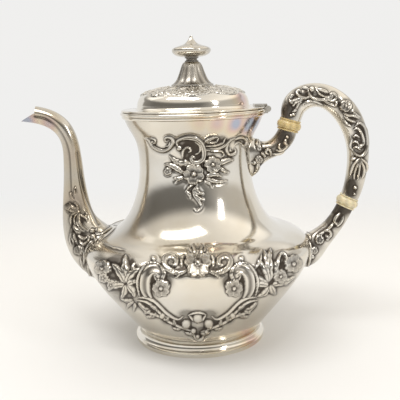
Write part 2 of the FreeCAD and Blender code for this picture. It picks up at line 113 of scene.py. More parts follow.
# Points of turned outlines: radius, height, slope, and how long the curve holds the slope before and after
BODY_POINTS = [
    (BASE_RADIUS, FOOT_HEIGHT, 54.4, 0.0, 24.7),
    (86.3, 70.5, UPRIGHT, 15.3, 11.0),
    (66.3, 85.6, 163.3, 5.2, 15.4),
    (41.8, 137.0, UPRIGHT, 22.9, 24.0),
    (RIM_RADIUS, RIM_HEIGHT, 79.0, 18.5, 0.0),
]
BELL_POINTS = [
    (FINIAL_BASE_RADIUS, LID_TOP + FINIAL_BASE_LIP, 150.0, 0.0, 4.1),
    (9.7, 202.2, 112.0, 4.1, 4.1),
    (FINIAL_NECK_RADIUS, FINIAL_BASE_TOP, 165.0, 2.5, 0.0),
]
KNOB_POINTS = [
    (FINIAL_NECK_RADIUS, COLLAR_TOP, LEVEL_OUT, 0.0, 5.4),
    (14.3, 218.4, UPRIGHT, 2.6, 2.6),
    (5.2, 223.1, 155.0, 4.5, 1.5),
    (1.0, 228.6, 100.0, 2.4, 0.0),
]

# Insulating rings: x and z of the middle, tilt, radius, radius of the flat collars
UPPER_RING = ((71.5, 161.7), 16.0, 9.2, 8.1)
LOWER_RING = ((115.9, 101.8), 25.0, 8.6, 7.4)
RING_HALF = 4.3
RING_COLLAR = 1.0
RING_BULGE = 2.0

# Stations of the bent tubes: x and z of the middle, half depth in the middle plane, half width across
SPOUT_STATIONS = [
    (-66.0, 63.05, 20.0, 24.0),
    (-82.3, 76.89, 18.6, 18.0),
    (-89.2, 91.8, 13.9, 12.2),
    (-91.3, 106.18, 10.6, 9.2),
    (-91.9, 122.15, 8.3, 7.6),
    (-92.1, 140.26, 6.9, 6.6),
    (-93.4, 153.57, 6.3, 6.2),
    (-99.0, 165.6, 6.6, 6.1),
    (-110.5, 173.06, 6.5, 6.1),
    (-134.3, 177.0, 6.0, 6.0),
]
SPOUT_ROOT_SLOPE = 159.0
SPOUT_TIP_SLOPE = 174.0
SPOUT_WALL = 1.2
SPOUT_LIP = (-128.0, 170.6)
SPOUT_MOUTH_SLOPE = 28.3
SPOUT_BEAK_END = -116.8
GRIP_UPPER_END = (7.6, 7.2)
GRIP_LOWER_END = (6.9, 6.6)
# Stations of the grip, with shares along and out from the line between the rings in place of x and z
GRIP_STATIONS = [
    (-0.121, 0.159, 9.2, 7.9),
    (-0.071, 0.392, 8.8, 8.0),
    (0.108, 0.502, 9.0, 8.0),
    (0.324, 0.518, 9.2, 8.0),
    (0.631, 0.403, 8.3, 7.6),
    (0.832, 0.233, 7.6, 7.1),
]
UPPER_SOCKET_STATIONS = [
    (35.8, 139.2, 19.2, 8.6),
    (45.0, 141.2, 13.2, 8.0),
    (52.4, 142.6, 8.0, 7.2),
    (63.4, 147.2, 7.2, 6.9),
]
UPPER_SOCKET_END = (7.2, 6.9)
LOWER_SOCKET_STATIONS = [
    (104.0, 82.1, 7.1, 6.8),
    (93.5, 71.5, 9.6, 8.6),
    (81.8, 62.5, 12.0, 10.0),
    (70.3, 56.5, 7.0, 8.0),
]
LOWER_SOCKET_END = (6.4, 6.2)
LOWER_SOCKET_ROOT_SLOPE = 217.0

# The photograph's camera, in millimetres, radians and picture dots
CAMERA_PLACE = (0.0, -482.8, 199.1)
CAMERA_PITCH = 0.1895
CAMERA_YAW = 0.0063
CAMERA_ROLL = -0.0301
CAMERA_FOCAL = 641.6
PICTURE_SIZE = 400.0
SENSOR_WIDTH = 36.0
CAMERA_REACH = 20.0

# Patches of the photograph that carry ornament: left, top, right and bottom in picture dots
BODY_PATCH = (80, 125, 318, 350)
SPOUT_PATCH = (15, 100, 130, 300)
HANDLE_PATCH = (240, 75, 380, 290)

# Drawing of the ornament: lengths in picture dots, reaches in cells of a patch, and counts
STROKE_STEP = 0.9
STROKE_LEAST = 10
LOBE_POINTS = 6
PETALS = 5
CHASED_LINE = 2
RELIEF_SMOOTHING = 2
WINDOW_EDGE = 2
FAR_RATIO = 9.0

# Form of the ornament's shapes, in shares of their half width, radius, length or height
STROKE_TAPERS = (0.3, 0.3)
BLUNT_END = 0.02
LOW_END = 0.45
GROOVE_HALF = 0.6
MIDRIB_HALF = 0.2
SIDE_RIB = 0.7
LOBE_NOTCH = 0.32
LEAF_TAPERS = (0.35, 0.6)
LEAF_KNEES = (0.35, 0.7)
LEAF_VEIN = 0.55
BEAD_EDGE = 0.7
STROKE_EDGE = 0.72
PETAL_MIDDLE = 0.57
PETAL_HALF = 0.45
PETAL_SPREAD = 0.78
NOTCH_DEPTH = 0.8
NOTCH_PLACE = 1.02
NOTCH_LENGTH = 0.2
NOTCH_WIDTH = 0.1
DISH_START = 0.2
DISH_SLOPE = 0.35
DISH_DEPTH = 0.42
DIP_PLACE = 0.48
DIP_LENGTH = 0.22
DIP_WIDTH = 0.55
DIP_DEPTH = 0.15
HEART_RADIUS = 0.2
HEART_HEIGHT = 1.1
HEART_RING = 0.28
LINE_WIDTH = 0.07
CHASED_DEPTH = 0.85

# Darkening of the ornament and its ground: tones in shares, heights in millimetres, reaches in picture dots
EDGE_TONE = 0.55
GROOVE_TONE = 0.9
VEIN_TONE = 1.1
OUTLINE_TONE = 0.75
DISH_TONE = 0.28
DIP_TONE = 0.3
HEART_TONE = 0.7
GROUND_TONE = 0.9
GROUND_REACH = 2.4
GROUND_GAIN = 2.5
GROUND_CLEAR = 0.2
RAISED_START = 0.04
RAISED_FULL = 0.5
HOLLOW_TONE = 0.85
HOLLOW_REACH = 0.9
HOLLOW_FULL = 0.35
DUSK_GAIN = 2.0
DUSK_MARGIN = 2.2
CREASE_STOP = 0.4
CREASE_SHADE = 0.45
CREASE_SHARPNESS = 3

# Ornament, region by region; Relief.draw says what the lists hold
BELLY_SHEET = (90.0, 235.0, 7.127)
BELLY_MIRROR = 766.0
SPOUT_SHEET = (55.0, 175.0, 13.06)
GARLAND_SHEET = (0.0, 0.0, 0.5)
NECK = dict(
    sheet=(140.0, 130.0, 13.635),
    strokes=[
        ([(70, 110), (115, 140), (150, 195), (205, 245), (265, 275), (325, 285), (385, 260), (435, 210),
          (452, 155), (425, 112), (378, 100), (342, 120), (345, 155), (372, 165)], 23, 1.0, 0.4),
        ([(130, 125), (180, 118), (215, 150), (200, 182), (165, 170)], 13, 0.7),
        ([(345, 225), (395, 205), (410, 160)], 11, 0.7),
        ([(510, 225), (500, 175), (560, 125), (650, 105), (740, 115), (815, 160), (858, 230), (874, 310),
          (862, 385), (820, 430), (765, 445), (715, 430), (695, 390), (715, 362),
          (748, 385)], 32, 1.25, 0.5),
        ([(752, 335), (798, 312), (822, 262), (800, 205), (752, 165)], 13, 0.7),
        ([(580, 375), (583, 300), (620, 250), (672, 248), (690, 290), (660, 305)], 16, 0.8, 0.2),
        ([(600, 410), (640, 440), (692, 468)], 20, 0.8),
        ([(880, 175), (960, 176), (1040, 160), (1075, 108)], 13, 0.8),
        ([(900, 222), (990, 220), (1080, 200), (1140, 160), (1162, 112)], 14, 0.8),
        ([(915, 258), (1020, 262), (1110, 240), (1180, 190), (1240, 135), (1300, 110)], 17, 0.9, 0.3),
        ([(900, 272), (1000, 288), (1090, 288), (1135, 312), (1140, 350), (1112, 365)], 16, 0.85),
        ([(1215, 178), (1185, 240), (1190, 300), (1225, 337), (1275, 330), (1305, 290),
          (1288, 245)], 19, 0.9, 0.35),
        ([(1230, 240), (1236, 288), (1265, 285)], 9, 0.6),
        ([(1290, 140), (1340, 112), (1400, 106), (1450, 140), (1445, 195), (1402, 212),
          (1388, 185)], 20, 0.9, 0.35),
        ([(1290, 212), (1312, 180), (1360, 170), (1392, 192)], 11, 0.6),
        ([(765, 700), (720, 740), (660, 790), (622, 842)], 15, 0.8),
        ([(778, 715), (775, 760), (735, 810), (730, 860), (770, 930), (815, 990), (836, 1040), (815, 1085),
          (765, 1105), (738, 1078)], 18, 0.9, 0.2),
        ([(690, 650), (660, 690), (690, 725), (740, 720), (762, 690)], 13, 1.0),
    ],
    leaves=[
        ((885, 165), (1062, 100), 30, 0.9, 0.08, 4), ((655, 475), (398, 342), 40, 0.9, 0.1, 5),
        ((610, 478), (455, 452), 26, 0.8, -0.1, 3), ((585, 590), (332, 468), 40, 0.9, -0.08, 5),
        ((580, 640), (455, 660), 26, 0.8, 0.1, 3), ((590, 655), (478, 722), 22, 0.8, -0.1, 3),
        ((1085, 470), (1275, 408), 40, 0.8, 0.1, 5), ((1090, 505), (1222, 578), 26, 0.8, -0.1, 4),
        ((905, 630), (1120, 640), 34, 0.9, 0.12, 5), ((900, 660), (1195, 692), 32, 0.8, -0.08, 5),
        ((875, 700), (992, 792), 24, 0.8, 0.1, 3), ((735, 795), (868, 868), 34, 0.95, -0.14, 3),
        ((750, 880), (880, 950), 26, 0.9, -0.12, 3), ((640, 840), (690, 938), 28, 0.9, 0.1, 3),
    ],
    flowers=[((378, 565), 56, 0.8, 30.0), ((990, 470), 122, 1.45, -100.0), ((735, 600), 152, 1.6, -43.0)],
    beads=[((535, 250), 34, 1.1), ((165, 160), 16, 0.7), ((785, 800), 18, 0.9)],
    shadows=[
        ((670, 235), (110, 85), 1.0), ((760, 330), (60, 90), 1.0), ((640, 350), (50, 70), 0.9),
        ((560, 480), (90, 60), 0.6), ((1110, 130), (70, 50), 0.7),
    ],
)
BELLY_SIDES = dict(
    sheet=BELLY_SHEET,
    strokes=[
        ([(703, 568), (730, 600), (768, 616), (803, 603), (826, 568)], 9, 0.9),
        ([(700, 572), (740, 556), (800, 556), (830, 568)], 7, 0.8),
        ([(735, 700), (756, 738), (800, 736), (812, 704)], 9, 0.9),
        ([(1300, 305), (1332, 232), (1346, 162), (1370, 130), (1396, 150), (1396, 205)], 10, 0.95),
        ([(1180, 235), (1215, 180), (1222, 140)], 9, 0.7),
    ],
    leaves=[
        ((255, 340), (255, 142), 31, 1.1, 0.03, 3), ((250, 340), (158, 206), 29, 1.0, -0.06, 3),
        ((262, 340), (348, 240), 27, 1.05, 0.1, 3), ((245, 350), (104, 300), 25, 0.95, 0.1, 3),
        ((245, 355), (128, 392), 25, 0.95, -0.1, 3), ((262, 355), (318, 440), 25, 0.95, 0.1, 3),
        ((250, 360), (222, 448), 22, 0.9, 0.1, 3), ((268, 350), (348, 330), 22, 0.9, 0.1, 2),
        ((300, 250), (322, 196), 13, 0.8, 0.1, 2), ((150, 262), (128, 200), 15, 0.8, 0.1, 2),
        ((305, 462), (218, 452), 14, 0.7, 0.1, 3), ((310, 475), (262, 528), 13, 0.7, -0.1, 3),
        ((318, 485), (305, 548), 12, 0.7, 0.1, 2), ((1272, 335), (1240, 108), 26, 1.05, -0.05, 3),
        ((1284, 325), (1286, 96), 30, 1.15, 0.03, 3), ((1275, 335), (1196, 176), 24, 0.95, -0.08, 3),
        ((1270, 350), (1168, 262), 26, 0.95, 0.1, 3), ((1268, 360), (1166, 360), 26, 0.95, -0.1, 3),
        ((1275, 368), (1196, 438), 23, 0.9, 0.1, 3), ((1290, 365), (1322, 420), 26, 0.95, -0.1, 3),
        ((1304, 355), (1410, 352), 24, 0.95, 0.1, 3), ((1330, 330), (1462, 292), 22, 0.9, -0.1, 3),
        ((1335, 255), (1322, 190), 15, 0.85, 0.05, 2),
    ],
    flowers=[
        ((92, 236), 58, 1.1, -60.0), ((98, 305), 36, 0.9, 0.0), ((152, 356), 30, 0.8, 20.0),
        ((1446, 205), 66, 1.1, -80.0), ((1354, 292), 50, 1.15, -60.0),
    ],
    shadows=[
        ((205, 180), (80, 45), 0.75), ((235, 420), (80, 60), 0.5), ((545, 330), (40, 40), 0.8),
        ((985, 330), (40, 40), 0.8), ((650, 260), (30, 40), 0.7), ((885, 260), (30, 40), 0.7),
        ((1240, 250), (40, 60), 0.6), ((1340, 250), (30, 50), 0.6), ((400, 420), (30, 40), 0.5),
        ((690, 560), (50, 24), 0.6), ((850, 560), (50, 24), 0.6), ((220, 280), (120, 140), 0.85),
        ((1300, 250), (120, 140), 0.5), ((214, 240), (20, 55), 1.0), ((300, 215), (24, 50), 1.0),
        ((290, 392), (26, 24), 1.0), ((165, 180), (50, 26), 0.9), ((1206, 235), (20, 50), 0.8),
        ((1322, 215), (14, 40), 0.9), ((1375, 228), (22, 40), 0.9), ((1236, 388), (28, 18), 0.8),
    ],
)
BELLY_PAIRED = dict(
    sheet=BELLY_SHEET,
    strokes=[
        ([(692, 250), (652, 268), (605, 264), (560, 242), (530, 202), (545, 160), (590, 155), (616, 185),
          (602, 216), (575, 206)], 19, 1.15, 0.45),
        ([(655, 225), (652, 180), (668, 140)], 11, 0.8),
        ([(440, 470), (402, 410), (392, 340), (406, 280), (446, 244), (490, 248), (508, 285), (488, 312),
          (463, 290)], 38, 1.2, 0.7),
        ([(352, 435), (338, 365), (345, 295), (382, 232), (438, 202), (490, 214), (518, 255), (514, 300),
          (488, 330)], 9, 1.15),
        ([(345, 445), (420, 452), (470, 480), (530, 540), (580, 580), (640, 598), (664, 578)], 10, 0.85),
        ([(330, 465), (395, 475), (450, 510), (510, 565), (560, 595)], 8, 0.7),
        ([(340, 490), (390, 540), (450, 565), (510, 588), (570, 622), (640, 655), (700, 678),
          (742, 690)], 8, 0.7),
    ],
    leaves=[
        ((770, 140), (702, 82), 14, 0.9, 0.1, 2), ((770, 135), (736, 66), 14, 0.9, 0.1, 2),
        ((640, 262), (602, 306), 12, 0.8, 0.1, 2), ((345, 480), (420, 530), 14, 0.8, -0.1, 3),
        ((430, 540), (385, 555), 12, 0.8, 0.1, 2), ((450, 575), (402, 580), 13, 0.8, 0.1, 2),
        ((470, 555), (440, 590), 11, 0.7, 0.1, 2), ((545, 610), (560, 575), 12, 0.8, -0.1, 2),
        ((610, 640), (600, 598), 12, 0.8, 0.1, 2), ((650, 668), (590, 660), 11, 0.7, 0.1, 2),
        ((745, 700), (680, 694), 14, 0.8, 0.1, 2), ((430, 505), (480, 545), 14, 0.7, 0.1, 3),
    ],
    flowers=[((508, 376), 66, 1.3, -100.0)],
    beads=[((516, 576), 20, 1.0), ((686, 634), 32, 1.3), ((452, 168), 18, 0.9), ((605, 255), 10, 0.7)],
    shadows=[
        ((400, 505), (45, 32), 0.7), ((480, 555), (45, 32), 0.7), ((560, 605), (45, 30), 0.7),
        ((640, 645), (45, 28), 0.7), ((720, 680), (45, 28), 0.7), ((430, 300), (50, 60), 0.55),
    ],
)
BELLY_MIDDLE = dict(
    sheet=BELLY_SHEET,
    flowers=[((770, 205), 100, 1.7, -90.0)],
    beads=[
        ((768, 594), 32, 1.3), ((768, 724), 13, 0.9), ((745, 128), 14, 1.7), ((795, 128), 14, 1.7),
        ((738, 684), 18, 1.0), ((830, 690), 14, 0.9),
    ],
)
SPOUT_ROOT = dict(
    sheet=SPOUT_SHEET,
    strokes=[
        ([(560, 862), (622, 892), (720, 940), (840, 966), (930, 986)], 11, 0.7),
        ([(600, 838), (650, 802), (720, 742), (800, 672)], 13, 0.8),
    ],
)
SPOUT = dict(
    sheet=SPOUT_SHEET,
    strokes=[
        ([(268, 150), (258, 195), (264, 245)], 10, 0.8),
        ([(195, 232), (205, 272), (245, 325)], 9, 0.8),
        ([(300, 480), (232, 502), (206, 560), (206, 645)], 13, 0.9),
        ([(302, 498), (256, 542), (250, 602), (268, 662)], 10, 0.8),
        ([(322, 500), (312, 560), (322, 632), (372, 692), (432, 742)], 14, 1.0, 0.3),
        ([(300, 520), (285, 592), (300, 662), (350, 722), (412, 752)], 10, 0.8),
        ([(330, 520), (372, 540), (410, 572), (420, 612)], 13, 0.9),
        ([(385, 470), (410, 500), (400, 545)], 11, 0.8),
        ([(210, 690), (216, 790), (242, 885)], 14, 0.9),
        ([(240, 760), (262, 840), (302, 902)], 12, 0.9),
        ([(198, 760), (195, 850), (216, 925)], 10, 0.7),
        ([(290, 780), (340, 822), (392, 832), (432, 802)], 12, 0.9),
        ([(310, 850), (352, 902), (402, 882), (440, 832), (428, 792)], 14, 0.9),
        ([(360, 930), (376, 1010), (380, 1100), (368, 1185)], 13, 0.8),
        ([(330, 1080), (345, 1150), (372, 1230)], 11, 0.7),
        ([(540, 775), (600, 770), (660, 735), (740, 680), (800, 640)], 13, 0.9),
        ([(470, 868), (422, 930), (402, 1000), (420, 1080), (432, 1180), (446, 1282),
          (490, 1372)], 15, 1.0),
    ],
    leaves=[
        ((312, 462), (180, 356), 22, 1.0, 0.1, 3), ((308, 460), (142, 438), 20, 0.9, 0.1, 3),
        ((306, 456), (244, 352), 16, 0.9, -0.1, 3), ((300, 472), (170, 502), 16, 0.9, 0.1, 3),
        ((334, 754), (238, 656), 30, 1.0, 0.1, 4), ((300, 1020), (248, 1010), 14, 0.8, 0.1, 2),
    ],
    flowers=[((305, 985), 64, 1.1, -80.0), ((165, 420), 40, 0.8, 0.0)],
    beads=[
        ((485, 725), 30, 1.2), ((540, 718), 20, 1.0), ((496, 800), 34, 1.3), ((450, 812), 20, 1.0),
        ((530, 858), 30, 1.2), ((310, 478), 18, 1.1),
    ],
    shadows=[
        ((350, 580), (50, 50), 0.8), ((250, 640), (50, 60), 0.6), ((200, 400), (50, 50), 0.6),
        ((350, 800), (60, 50), 0.7), ((290, 900), (50, 60), 0.6),
    ],
)
SPOUT_SIDES = dict(
    sheet=(15.0, 95.0, 7.65),
    creases=[
        ([(150, 160), (215, 170), (290, 215), (350, 285), (385, 350), (408, 420), (420, 520), (425, 640),
          (430, 740)], 14, 0.8),
        ([(480, 440), (495, 560), (515, 680), (545, 780), (590, 880), (640, 990)], 14, 0.8),
    ],
)
GRIP = dict(
    sheet=(270.0, 80.0, 11.2),
    strokes=[
        ([(350, 142), (325, 112), (302, 130), (315, 170), (360, 196), (410, 202),
          (452, 185)], 15, 1.0, 0.3),
        ([(425, 105), (436, 150), (470, 196), (530, 216), (600, 222), (662, 212), (702, 186),
          (690, 150)], 16, 1.0, 0.3),
        ([(520, 105), (550, 150), (600, 180), (650, 192), (692, 180)], 12, 0.8),
        ([(640, 216), (700, 236), (740, 202), (726, 160), (690, 150), (676, 182),
          (700, 200)], 14, 1.0, 0.2),
        ([(355, 95), (395, 88), (432, 100)], 15, 0.9),
        ([(535, 100), (592, 115), (652, 140)], 18, 0.9),
        ([(370, 210), (310, 216), (250, 236), (214, 252)], 13, 0.8),
        ([(362, 226), (300, 246), (254, 292)], 13, 0.8),
        ([(352, 242), (312, 282), (290, 332)], 13, 0.8),
        ([(262, 158), (230, 190), (208, 202)], 13, 0.8),
        ([(380, 292), (372, 275), (400, 250), (460, 236), (530, 250), (592, 282)], 11, 0.7),
        ([(610, 240), (680, 270), (742, 302)], 13, 0.8),
        ([(748, 240), (736, 292)], 18, 0.9),
        ([(820, 370), (880, 400), (940, 402), (1002, 432)], 13, 0.8),
        ([(830, 402), (890, 452), (962, 472)], 13, 0.8),
        ([(820, 422), (862, 492), (912, 522)], 11, 0.8),
        ([(930, 360), (982, 402), (1012, 420)], 13, 0.8),
        ([(950, 522), (1000, 482), (1050, 512), (1082, 602), (1092, 702), (1072, 802), (1022, 852),
          (962, 832), (922, 782)], 15, 1.1, 0.3),
        ([(930, 562), (970, 540), (1012, 572), (1042, 642), (1042, 722), (1012, 752), (990, 722)], 13, 1.0),
        ([(930, 642), (962, 620), (1002, 642)], 11, 0.8),
        ([(920, 702), (962, 690), (992, 715)], 11, 0.8),
        ([(930, 762), (972, 752), (1012, 782)], 11, 0.8),
        ([(900, 622), (916, 682), (902, 742), (932, 792)], 11, 0.8),
        ([(1000, 882), (950, 932), (920, 1002), (900, 1062)], 14, 0.9),
        ([(1005, 892), (975, 962), (950, 1042), (940, 1112)], 13, 0.9),
        ([(1010, 892), (1005, 972), (992, 1052), (982, 1122)], 13, 0.9),
        ([(1015, 892), (1046, 962), (1052, 1042), (1030, 1102)], 13, 0.9),
        ([(1020, 882), (1070, 922), (1086, 982), (1070, 1042)], 13, 0.9),
        ([(932, 850), (925, 892), (962, 872)], 13, 0.8),
    ],
    leaves=[((255, 262), (212, 206), 16, 0.8, 0.1, 3), ((300, 330), (250, 352), 14, 0.7, 0.1, 3)],
    flowers=[((850, 290), 72, 1.2, -60.0)],
    beads=[
        ((470, 100), 30, 1.1), ((265, 386), 17, 0.9), ((234, 396), 12, 0.8), ((1020, 735), 14, 1.1),
        ((955, 1206), 18, 1.0), ((945, 1276), 12, 0.9),
    ],
    shadows=[
        ((205, 350), (75, 90), 0.9), ((910, 1210), (70, 110), 0.95), ((870, 1430), (90, 70), 0.95),
        ((170, 620), (80, 70), 0.8), ((410, 140), (40, 24), 0.8), ((1000, 660), (60, 90), 0.6),
        ((640, 260), (60, 30), 0.6), ((900, 460), (50, 50), 0.6), ((1000, 1000), (70, 60), 0.5),
        ((300, 150), (50, 40), 0.6), ((430, 160), (60, 40), 0.6), ((560, 190), (60, 40), 0.6),
        ((700, 235), (60, 45), 0.6), ((820, 330), (60, 55), 0.6), ((920, 430), (55, 60), 0.6),
        ((990, 560), (50, 70), 0.6), ((1020, 700), (50, 70), 0.6), ((1010, 850), (50, 70), 0.6),
    ],
)
SOCKETS = dict(
    sheet=(235.0, 115.0, 9.8),
    strokes=[
        ([(520, 305), (490, 272), (500, 240)], 14, 0.8),
        ([(462, 352), (430, 312), (440, 282)], 12, 0.8),
        ([(400, 342), (430, 352), (480, 332), (522, 292)], 12, 0.8),
        ([(370, 382), (430, 382), (492, 352)], 12, 0.8),
        ([(350, 402), (346, 352), (315, 336), (304, 370), (330, 386)], 13, 0.9, 0.2),
        ([(1030, 962), (990, 1002), (980, 1052), (1010, 1082)], 13, 0.8),
        ([(1062, 992), (1042, 1042), (1002, 1092)], 13, 0.8),
        ([(962, 1062), (930, 1102), (900, 1122)], 12, 0.8),
        ([(860, 1142), (902, 1130), (940, 1162), (920, 1196), (885, 1180)], 13, 0.9, 0.2),
        ([(640, 1242), (690, 1232), (730, 1262), (742, 1332), (736, 1402), (712, 1502)], 13, 0.9),
        ([(700, 1160), (730, 1180), (742, 1220)], 12, 0.8),
    ],
    leaves=[
        ((230, 468), (184, 582), 22, 0.9, 0.1, 4), ((212, 462), (160, 468), 18, 0.8, 0.1, 3),
        ((245, 350), (226, 205), 30, 0.7, 0.05, 3), ((872, 1140), (790, 1182), 16, 0.9, 0.1, 3),
        ((900, 1230), (930, 1200), 14, 0.8, 0.1, 2),
    ],
    flowers=[((236, 436), 38, 1.0, -80.0), ((830, 1222), 44, 1.0, -80.0), ((778, 1330), 36, 0.9, 0.0)],
    beads=[
        ((512, 216), 14, 0.9), ((272, 380), 16, 0.9), ((290, 400), 14, 0.8), ((760, 1390), 18, 0.8),
        ((850, 1500), 12, 0.8),
    ],
    shadows=[
        ((490, 215), (80, 80), 0.9), ((430, 320), (70, 50), 0.6), ((300, 370), (70, 50), 0.55),
        ((220, 450), (50, 80), 0.55), ((1030, 925), (100, 75), 0.95), ((965, 1040), (80, 70), 0.8),
        ((880, 1160), (80, 60), 0.65), ((800, 1260), (60, 70), 0.6), ((740, 1380), (50, 90), 0.45),
    ],
)
GARLAND_PAIRED = dict(
    sheet=GARLAND_SHEET,
    strokes=[
        ([(-1.0, 23.4), (-4.4, 23.3), (-8.0, 21.4), (-9.8, 18.0), (-8.6, 14.7), (-6.2, 13.9), (-4.9, 15.6),
          (-6.2, 17.0)], 0.95, 0.62, 0.4),
        ([(-2.6, 12.6), (-5.8, 11.2), (-8.8, 11.6), (-10.6, 9.2)], 0.7, 0.5),
        ([(-9.4, 19.6), (-7.6, 18.6), (-6.4, 19.6)], 0.5, 0.4),
    ],
    leaves=[
        ((-1.9, 12.4), (-4.6, 3.4), 1.6, 0.55, 0.1, 4), ((-3.8, 12.0), (-9.0, 5.0), 1.4, 0.5, -0.1, 3),
        ((-11.78, 21.2), (-11.78, 9.4), 1.8, 0.55, 0.0, 5),
        ((-11.78, 9.0), (-11.78, 1.6), 1.1, 0.5, 0.0, 3), ((-3.4, 21.6), (-7.0, 20.0), 0.9, 0.45, 0.1, 3),
    ],
    beads=[((-7.7, 8.6), 0.9, 0.5), ((-1.6, 1.6), 0.8, 0.45), ((-9.9, 13.0), 0.7, 0.45)],
)
GARLAND_MIDDLE = dict(
    sheet=GARLAND_SHEET,
    leaves=[((0.0, 14.0), (0.0, 2.4), 1.9, 0.6, 0.0, 5)],
    flowers=[((0.0, 18.9), 4.9, 0.7, 90.0)],
)
BELLY_REGIONS = (BELLY_SIDES, BELLY_PAIRED, dict(BELLY_PAIRED, mirror=BELLY_MIRROR), BELLY_MIDDLE)
GARLAND_REGIONS = (GARLAND_PAIRED, dict(GARLAND_PAIRED, mirror=0.0), GARLAND_MIDDLE)

# Garland on the lid; its sheet unrolls the dome, in millimetres across at this radius and down it
GARLAND_RADIUS = 30.0
GARLAND_EDGE = 24.3
GARLAND_EDGE_RISE = 2.6
GARLAND_EDGE_WIDTH = 0.48
GARLAND_SEAT = -0.5
GARLAND_END = 26.0
GARLAND_PROUD = 0.12
GARLAND_SINK = 0.35
GARLAND_BACKING = 0.6

# Coloured tarnish, on the camera's side and the far side alike: place, reach and strength
TARNISH_PATCHES = [
    ((47.0, 20.0, 163.0), 12.0, 0.8), ((40.0, 31.0, 165.0), 11.0, 0.8), ((29.0, 41.0, 167.0), 10.0, 0.7),
    ((16.0, 48.0, 168.0), 9.0, 0.55), ((4.0, 51.0, 169.0), 9.0, 0.4), ((-124.0, 4.0, 171.0), 11.0, 0.7),
    ((-107.0, 5.0, 168.0), 10.0, 0.55), ((-92.0, 6.0, 145.0), 22.0, 0.36),
    ((-90.0, 9.0, 112.0), 24.0, 0.36), ((36.0, 20.0, 184.0), 14.0, 0.6), ((40.0, 30.0, 3.0), 14.0, 0.5),
    ((-60.0, 40.0, 88.0), 18.0, 0.3), ((66.0, 5.0, 150.0), 10.0, 0.4),
]
# Darker patches of the body, listed in the same way: painted shade for darker reflections on the shoulder and
# lower belly, and dull tarnish under the rim
SHADE_AND_TARNISH_PATCHES = [
    ((-50.0, 36.0, 90.0), 30.0, 0.4), ((-20.0, 48.0, 94.0), 26.0, 0.16), ((46.0, 44.0, 26.0), 30.0, 0.26),
    ((0.0, 58.0, 22.0), 30.0, 0.14), ((-46.0, 44.0, 26.0), 28.0, 0.12), ((70.0, 30.0, 55.0), 26.0, 0.18),
    ((0.0, 44.0, 166.0), 30.0, 0.22), ((-40.0, 20.0, 164.0), 24.0, 0.26), ((44.0, 20.0, 164.0), 24.0, 0.26),
]
# The spout's even darkening is part faint tarnish and part painted shade for the darker reflections it shows
SPOUT_SHADE_AND_TARNISH = 0.3
GRIP_PATINA = 0.08
HANDLE_END_PATINA = 0.5
LID_PATINA = 0.03
GARLAND_PATINA = 0.6
FITTING_PATINA = 0.45
COLLAR_PATINA = 0.75
FINIAL_PATINA = 0.5
KNOB_PATINA = 0.24
FLUTE_PATINA = 0.35
RING_PATINA = 0.02
WALL_PATINA = 0.35

# Finish
SILVER = "embossed_silver"
CLOUD_SCALE = 22.0
CLOUD_DETAIL = 4.0
CLOUD_START = 0.4
CLOUD_FULL = 0.75
CLOUD_MOST = 0.7
BLOOM_LEAST = 0.8
BLOOM_MOST = 1.5
BLOOM_HUES = [
    (0.0, (0.86, 0.84, 0.79)),
    (0.35, (0.82, 0.63, 0.36)),
    (0.58, (0.68, 0.42, 0.38)),
    (0.78, (0.37, 0.42, 0.6)),
    (1.0, (0.45, 0.6, 0.58)),
]
WEAR_ROUGHNESS = 0.08
PATINA_ROUGHNESS = 0.3
RIPPLE_SCALE = 60.0
RIPPLE_STRENGTH = 0.04
RIPPLE_DEPTH = 0.002
IVORY_ROUGHNESS = 0.28
IVORY_GLOW = 0.15
IVORY_GLOW_DEPTH = (0.003, 0.002, 0.001)
GROWTH_SCALE = 60.0
GROWTH_WAVER = 6.0
GROWTH_DETAIL = 3.0
GROWTH_TONE = 0.8
PAPER_ROUGHNESS = 0.7
PAPER_GRAIN = 3.0
PAPER_TONE = 0.98

# Frame pieces that keep their shape
FITTINGS = ("insulator_pins", "hinge_leaf_pot", "hinge_pin", "hinge_leaf_lid", "finial_stud",
            "finial_washer", "finial_nut")

# Stage sizes, in metres, and places on the room's sky as heights and shares across
PAPER_FRONT = 2.2
PAPER_BEND_START = 0.7
PAPER_BEND = 0.5
PAPER_BEND_STEPS = 24
PAPER_TOP = 0.85
PAPER_HALF_WIDTH = 1.8
LIT_FLOOR_REACH = 0.25
EVEN_FLOOR_START = 0.75
OVERHEAD_BOX = (-0.32, -0.5, 1.35)
OVERHEAD_BOX_SIZE = (1.2, 0.4)
RIGHT_BOX = (0.8, -0.75, 0.66)
RIGHT_BOX_SIZE = (0.14, 0.34)
LEFT_BOX = (-1.0, 0.5, 1.2)
LEFT_BOX_SIZE = (0.6, 0.7)
LAMP_AIM = (0.0, 0.0, 0.1)
WALL_TOP = 0.4
CEILING_START = 0.62
HORIZON_LOW = 0.02
HORIZON_HIGH = 0.14
RIGHT_SIDE_START = 0.15
RIGHT_SIDE_FULL = 1.0

# Grid sizes
CURVE_STEPS = 48
BODY_STEPS = 192
DOME_STEPS = 144
GARLAND_LINE_STEPS = 192
TURNED_STEPS = 192
LID_STEPS = 384
RING_STEPS = 96
DOME_BACK_STEP = 4
PATH_STEPS = 800
SPOUT_PATH_STEPS = 900
BELLY_ROWS = 190
BELLY_COLUMNS = 480
NECK_ROWS = 190
NECK_COLUMNS = 340
SPOUT_ROWS = 260
SPOUT_COLUMNS = 160
SPOUT_BACK_ROWS = 48
SPOUT_FADE_ROWS = 4
GRIP_ROWS = 420
SOCKET_ROWS = 120
HANDLE_COLUMNS = 112
HANDLE_FADE_ROWS = 5
GARLAND_ROWS = 88
GARLAND_COLUMNS = 100
BACKING_ROWS = 24
BACKING_COLUMNS = 48
SHARP_ANGLE = math.radians(38.0)
RASTER_FINENESS = 4.0
LAST_CELL = 1.001
TINY = 1e-9


# Outline helpers
def heading(degrees):
    turn = math.radians(degrees)
    return np.array([math.cos(turn), math.sin(turn)])


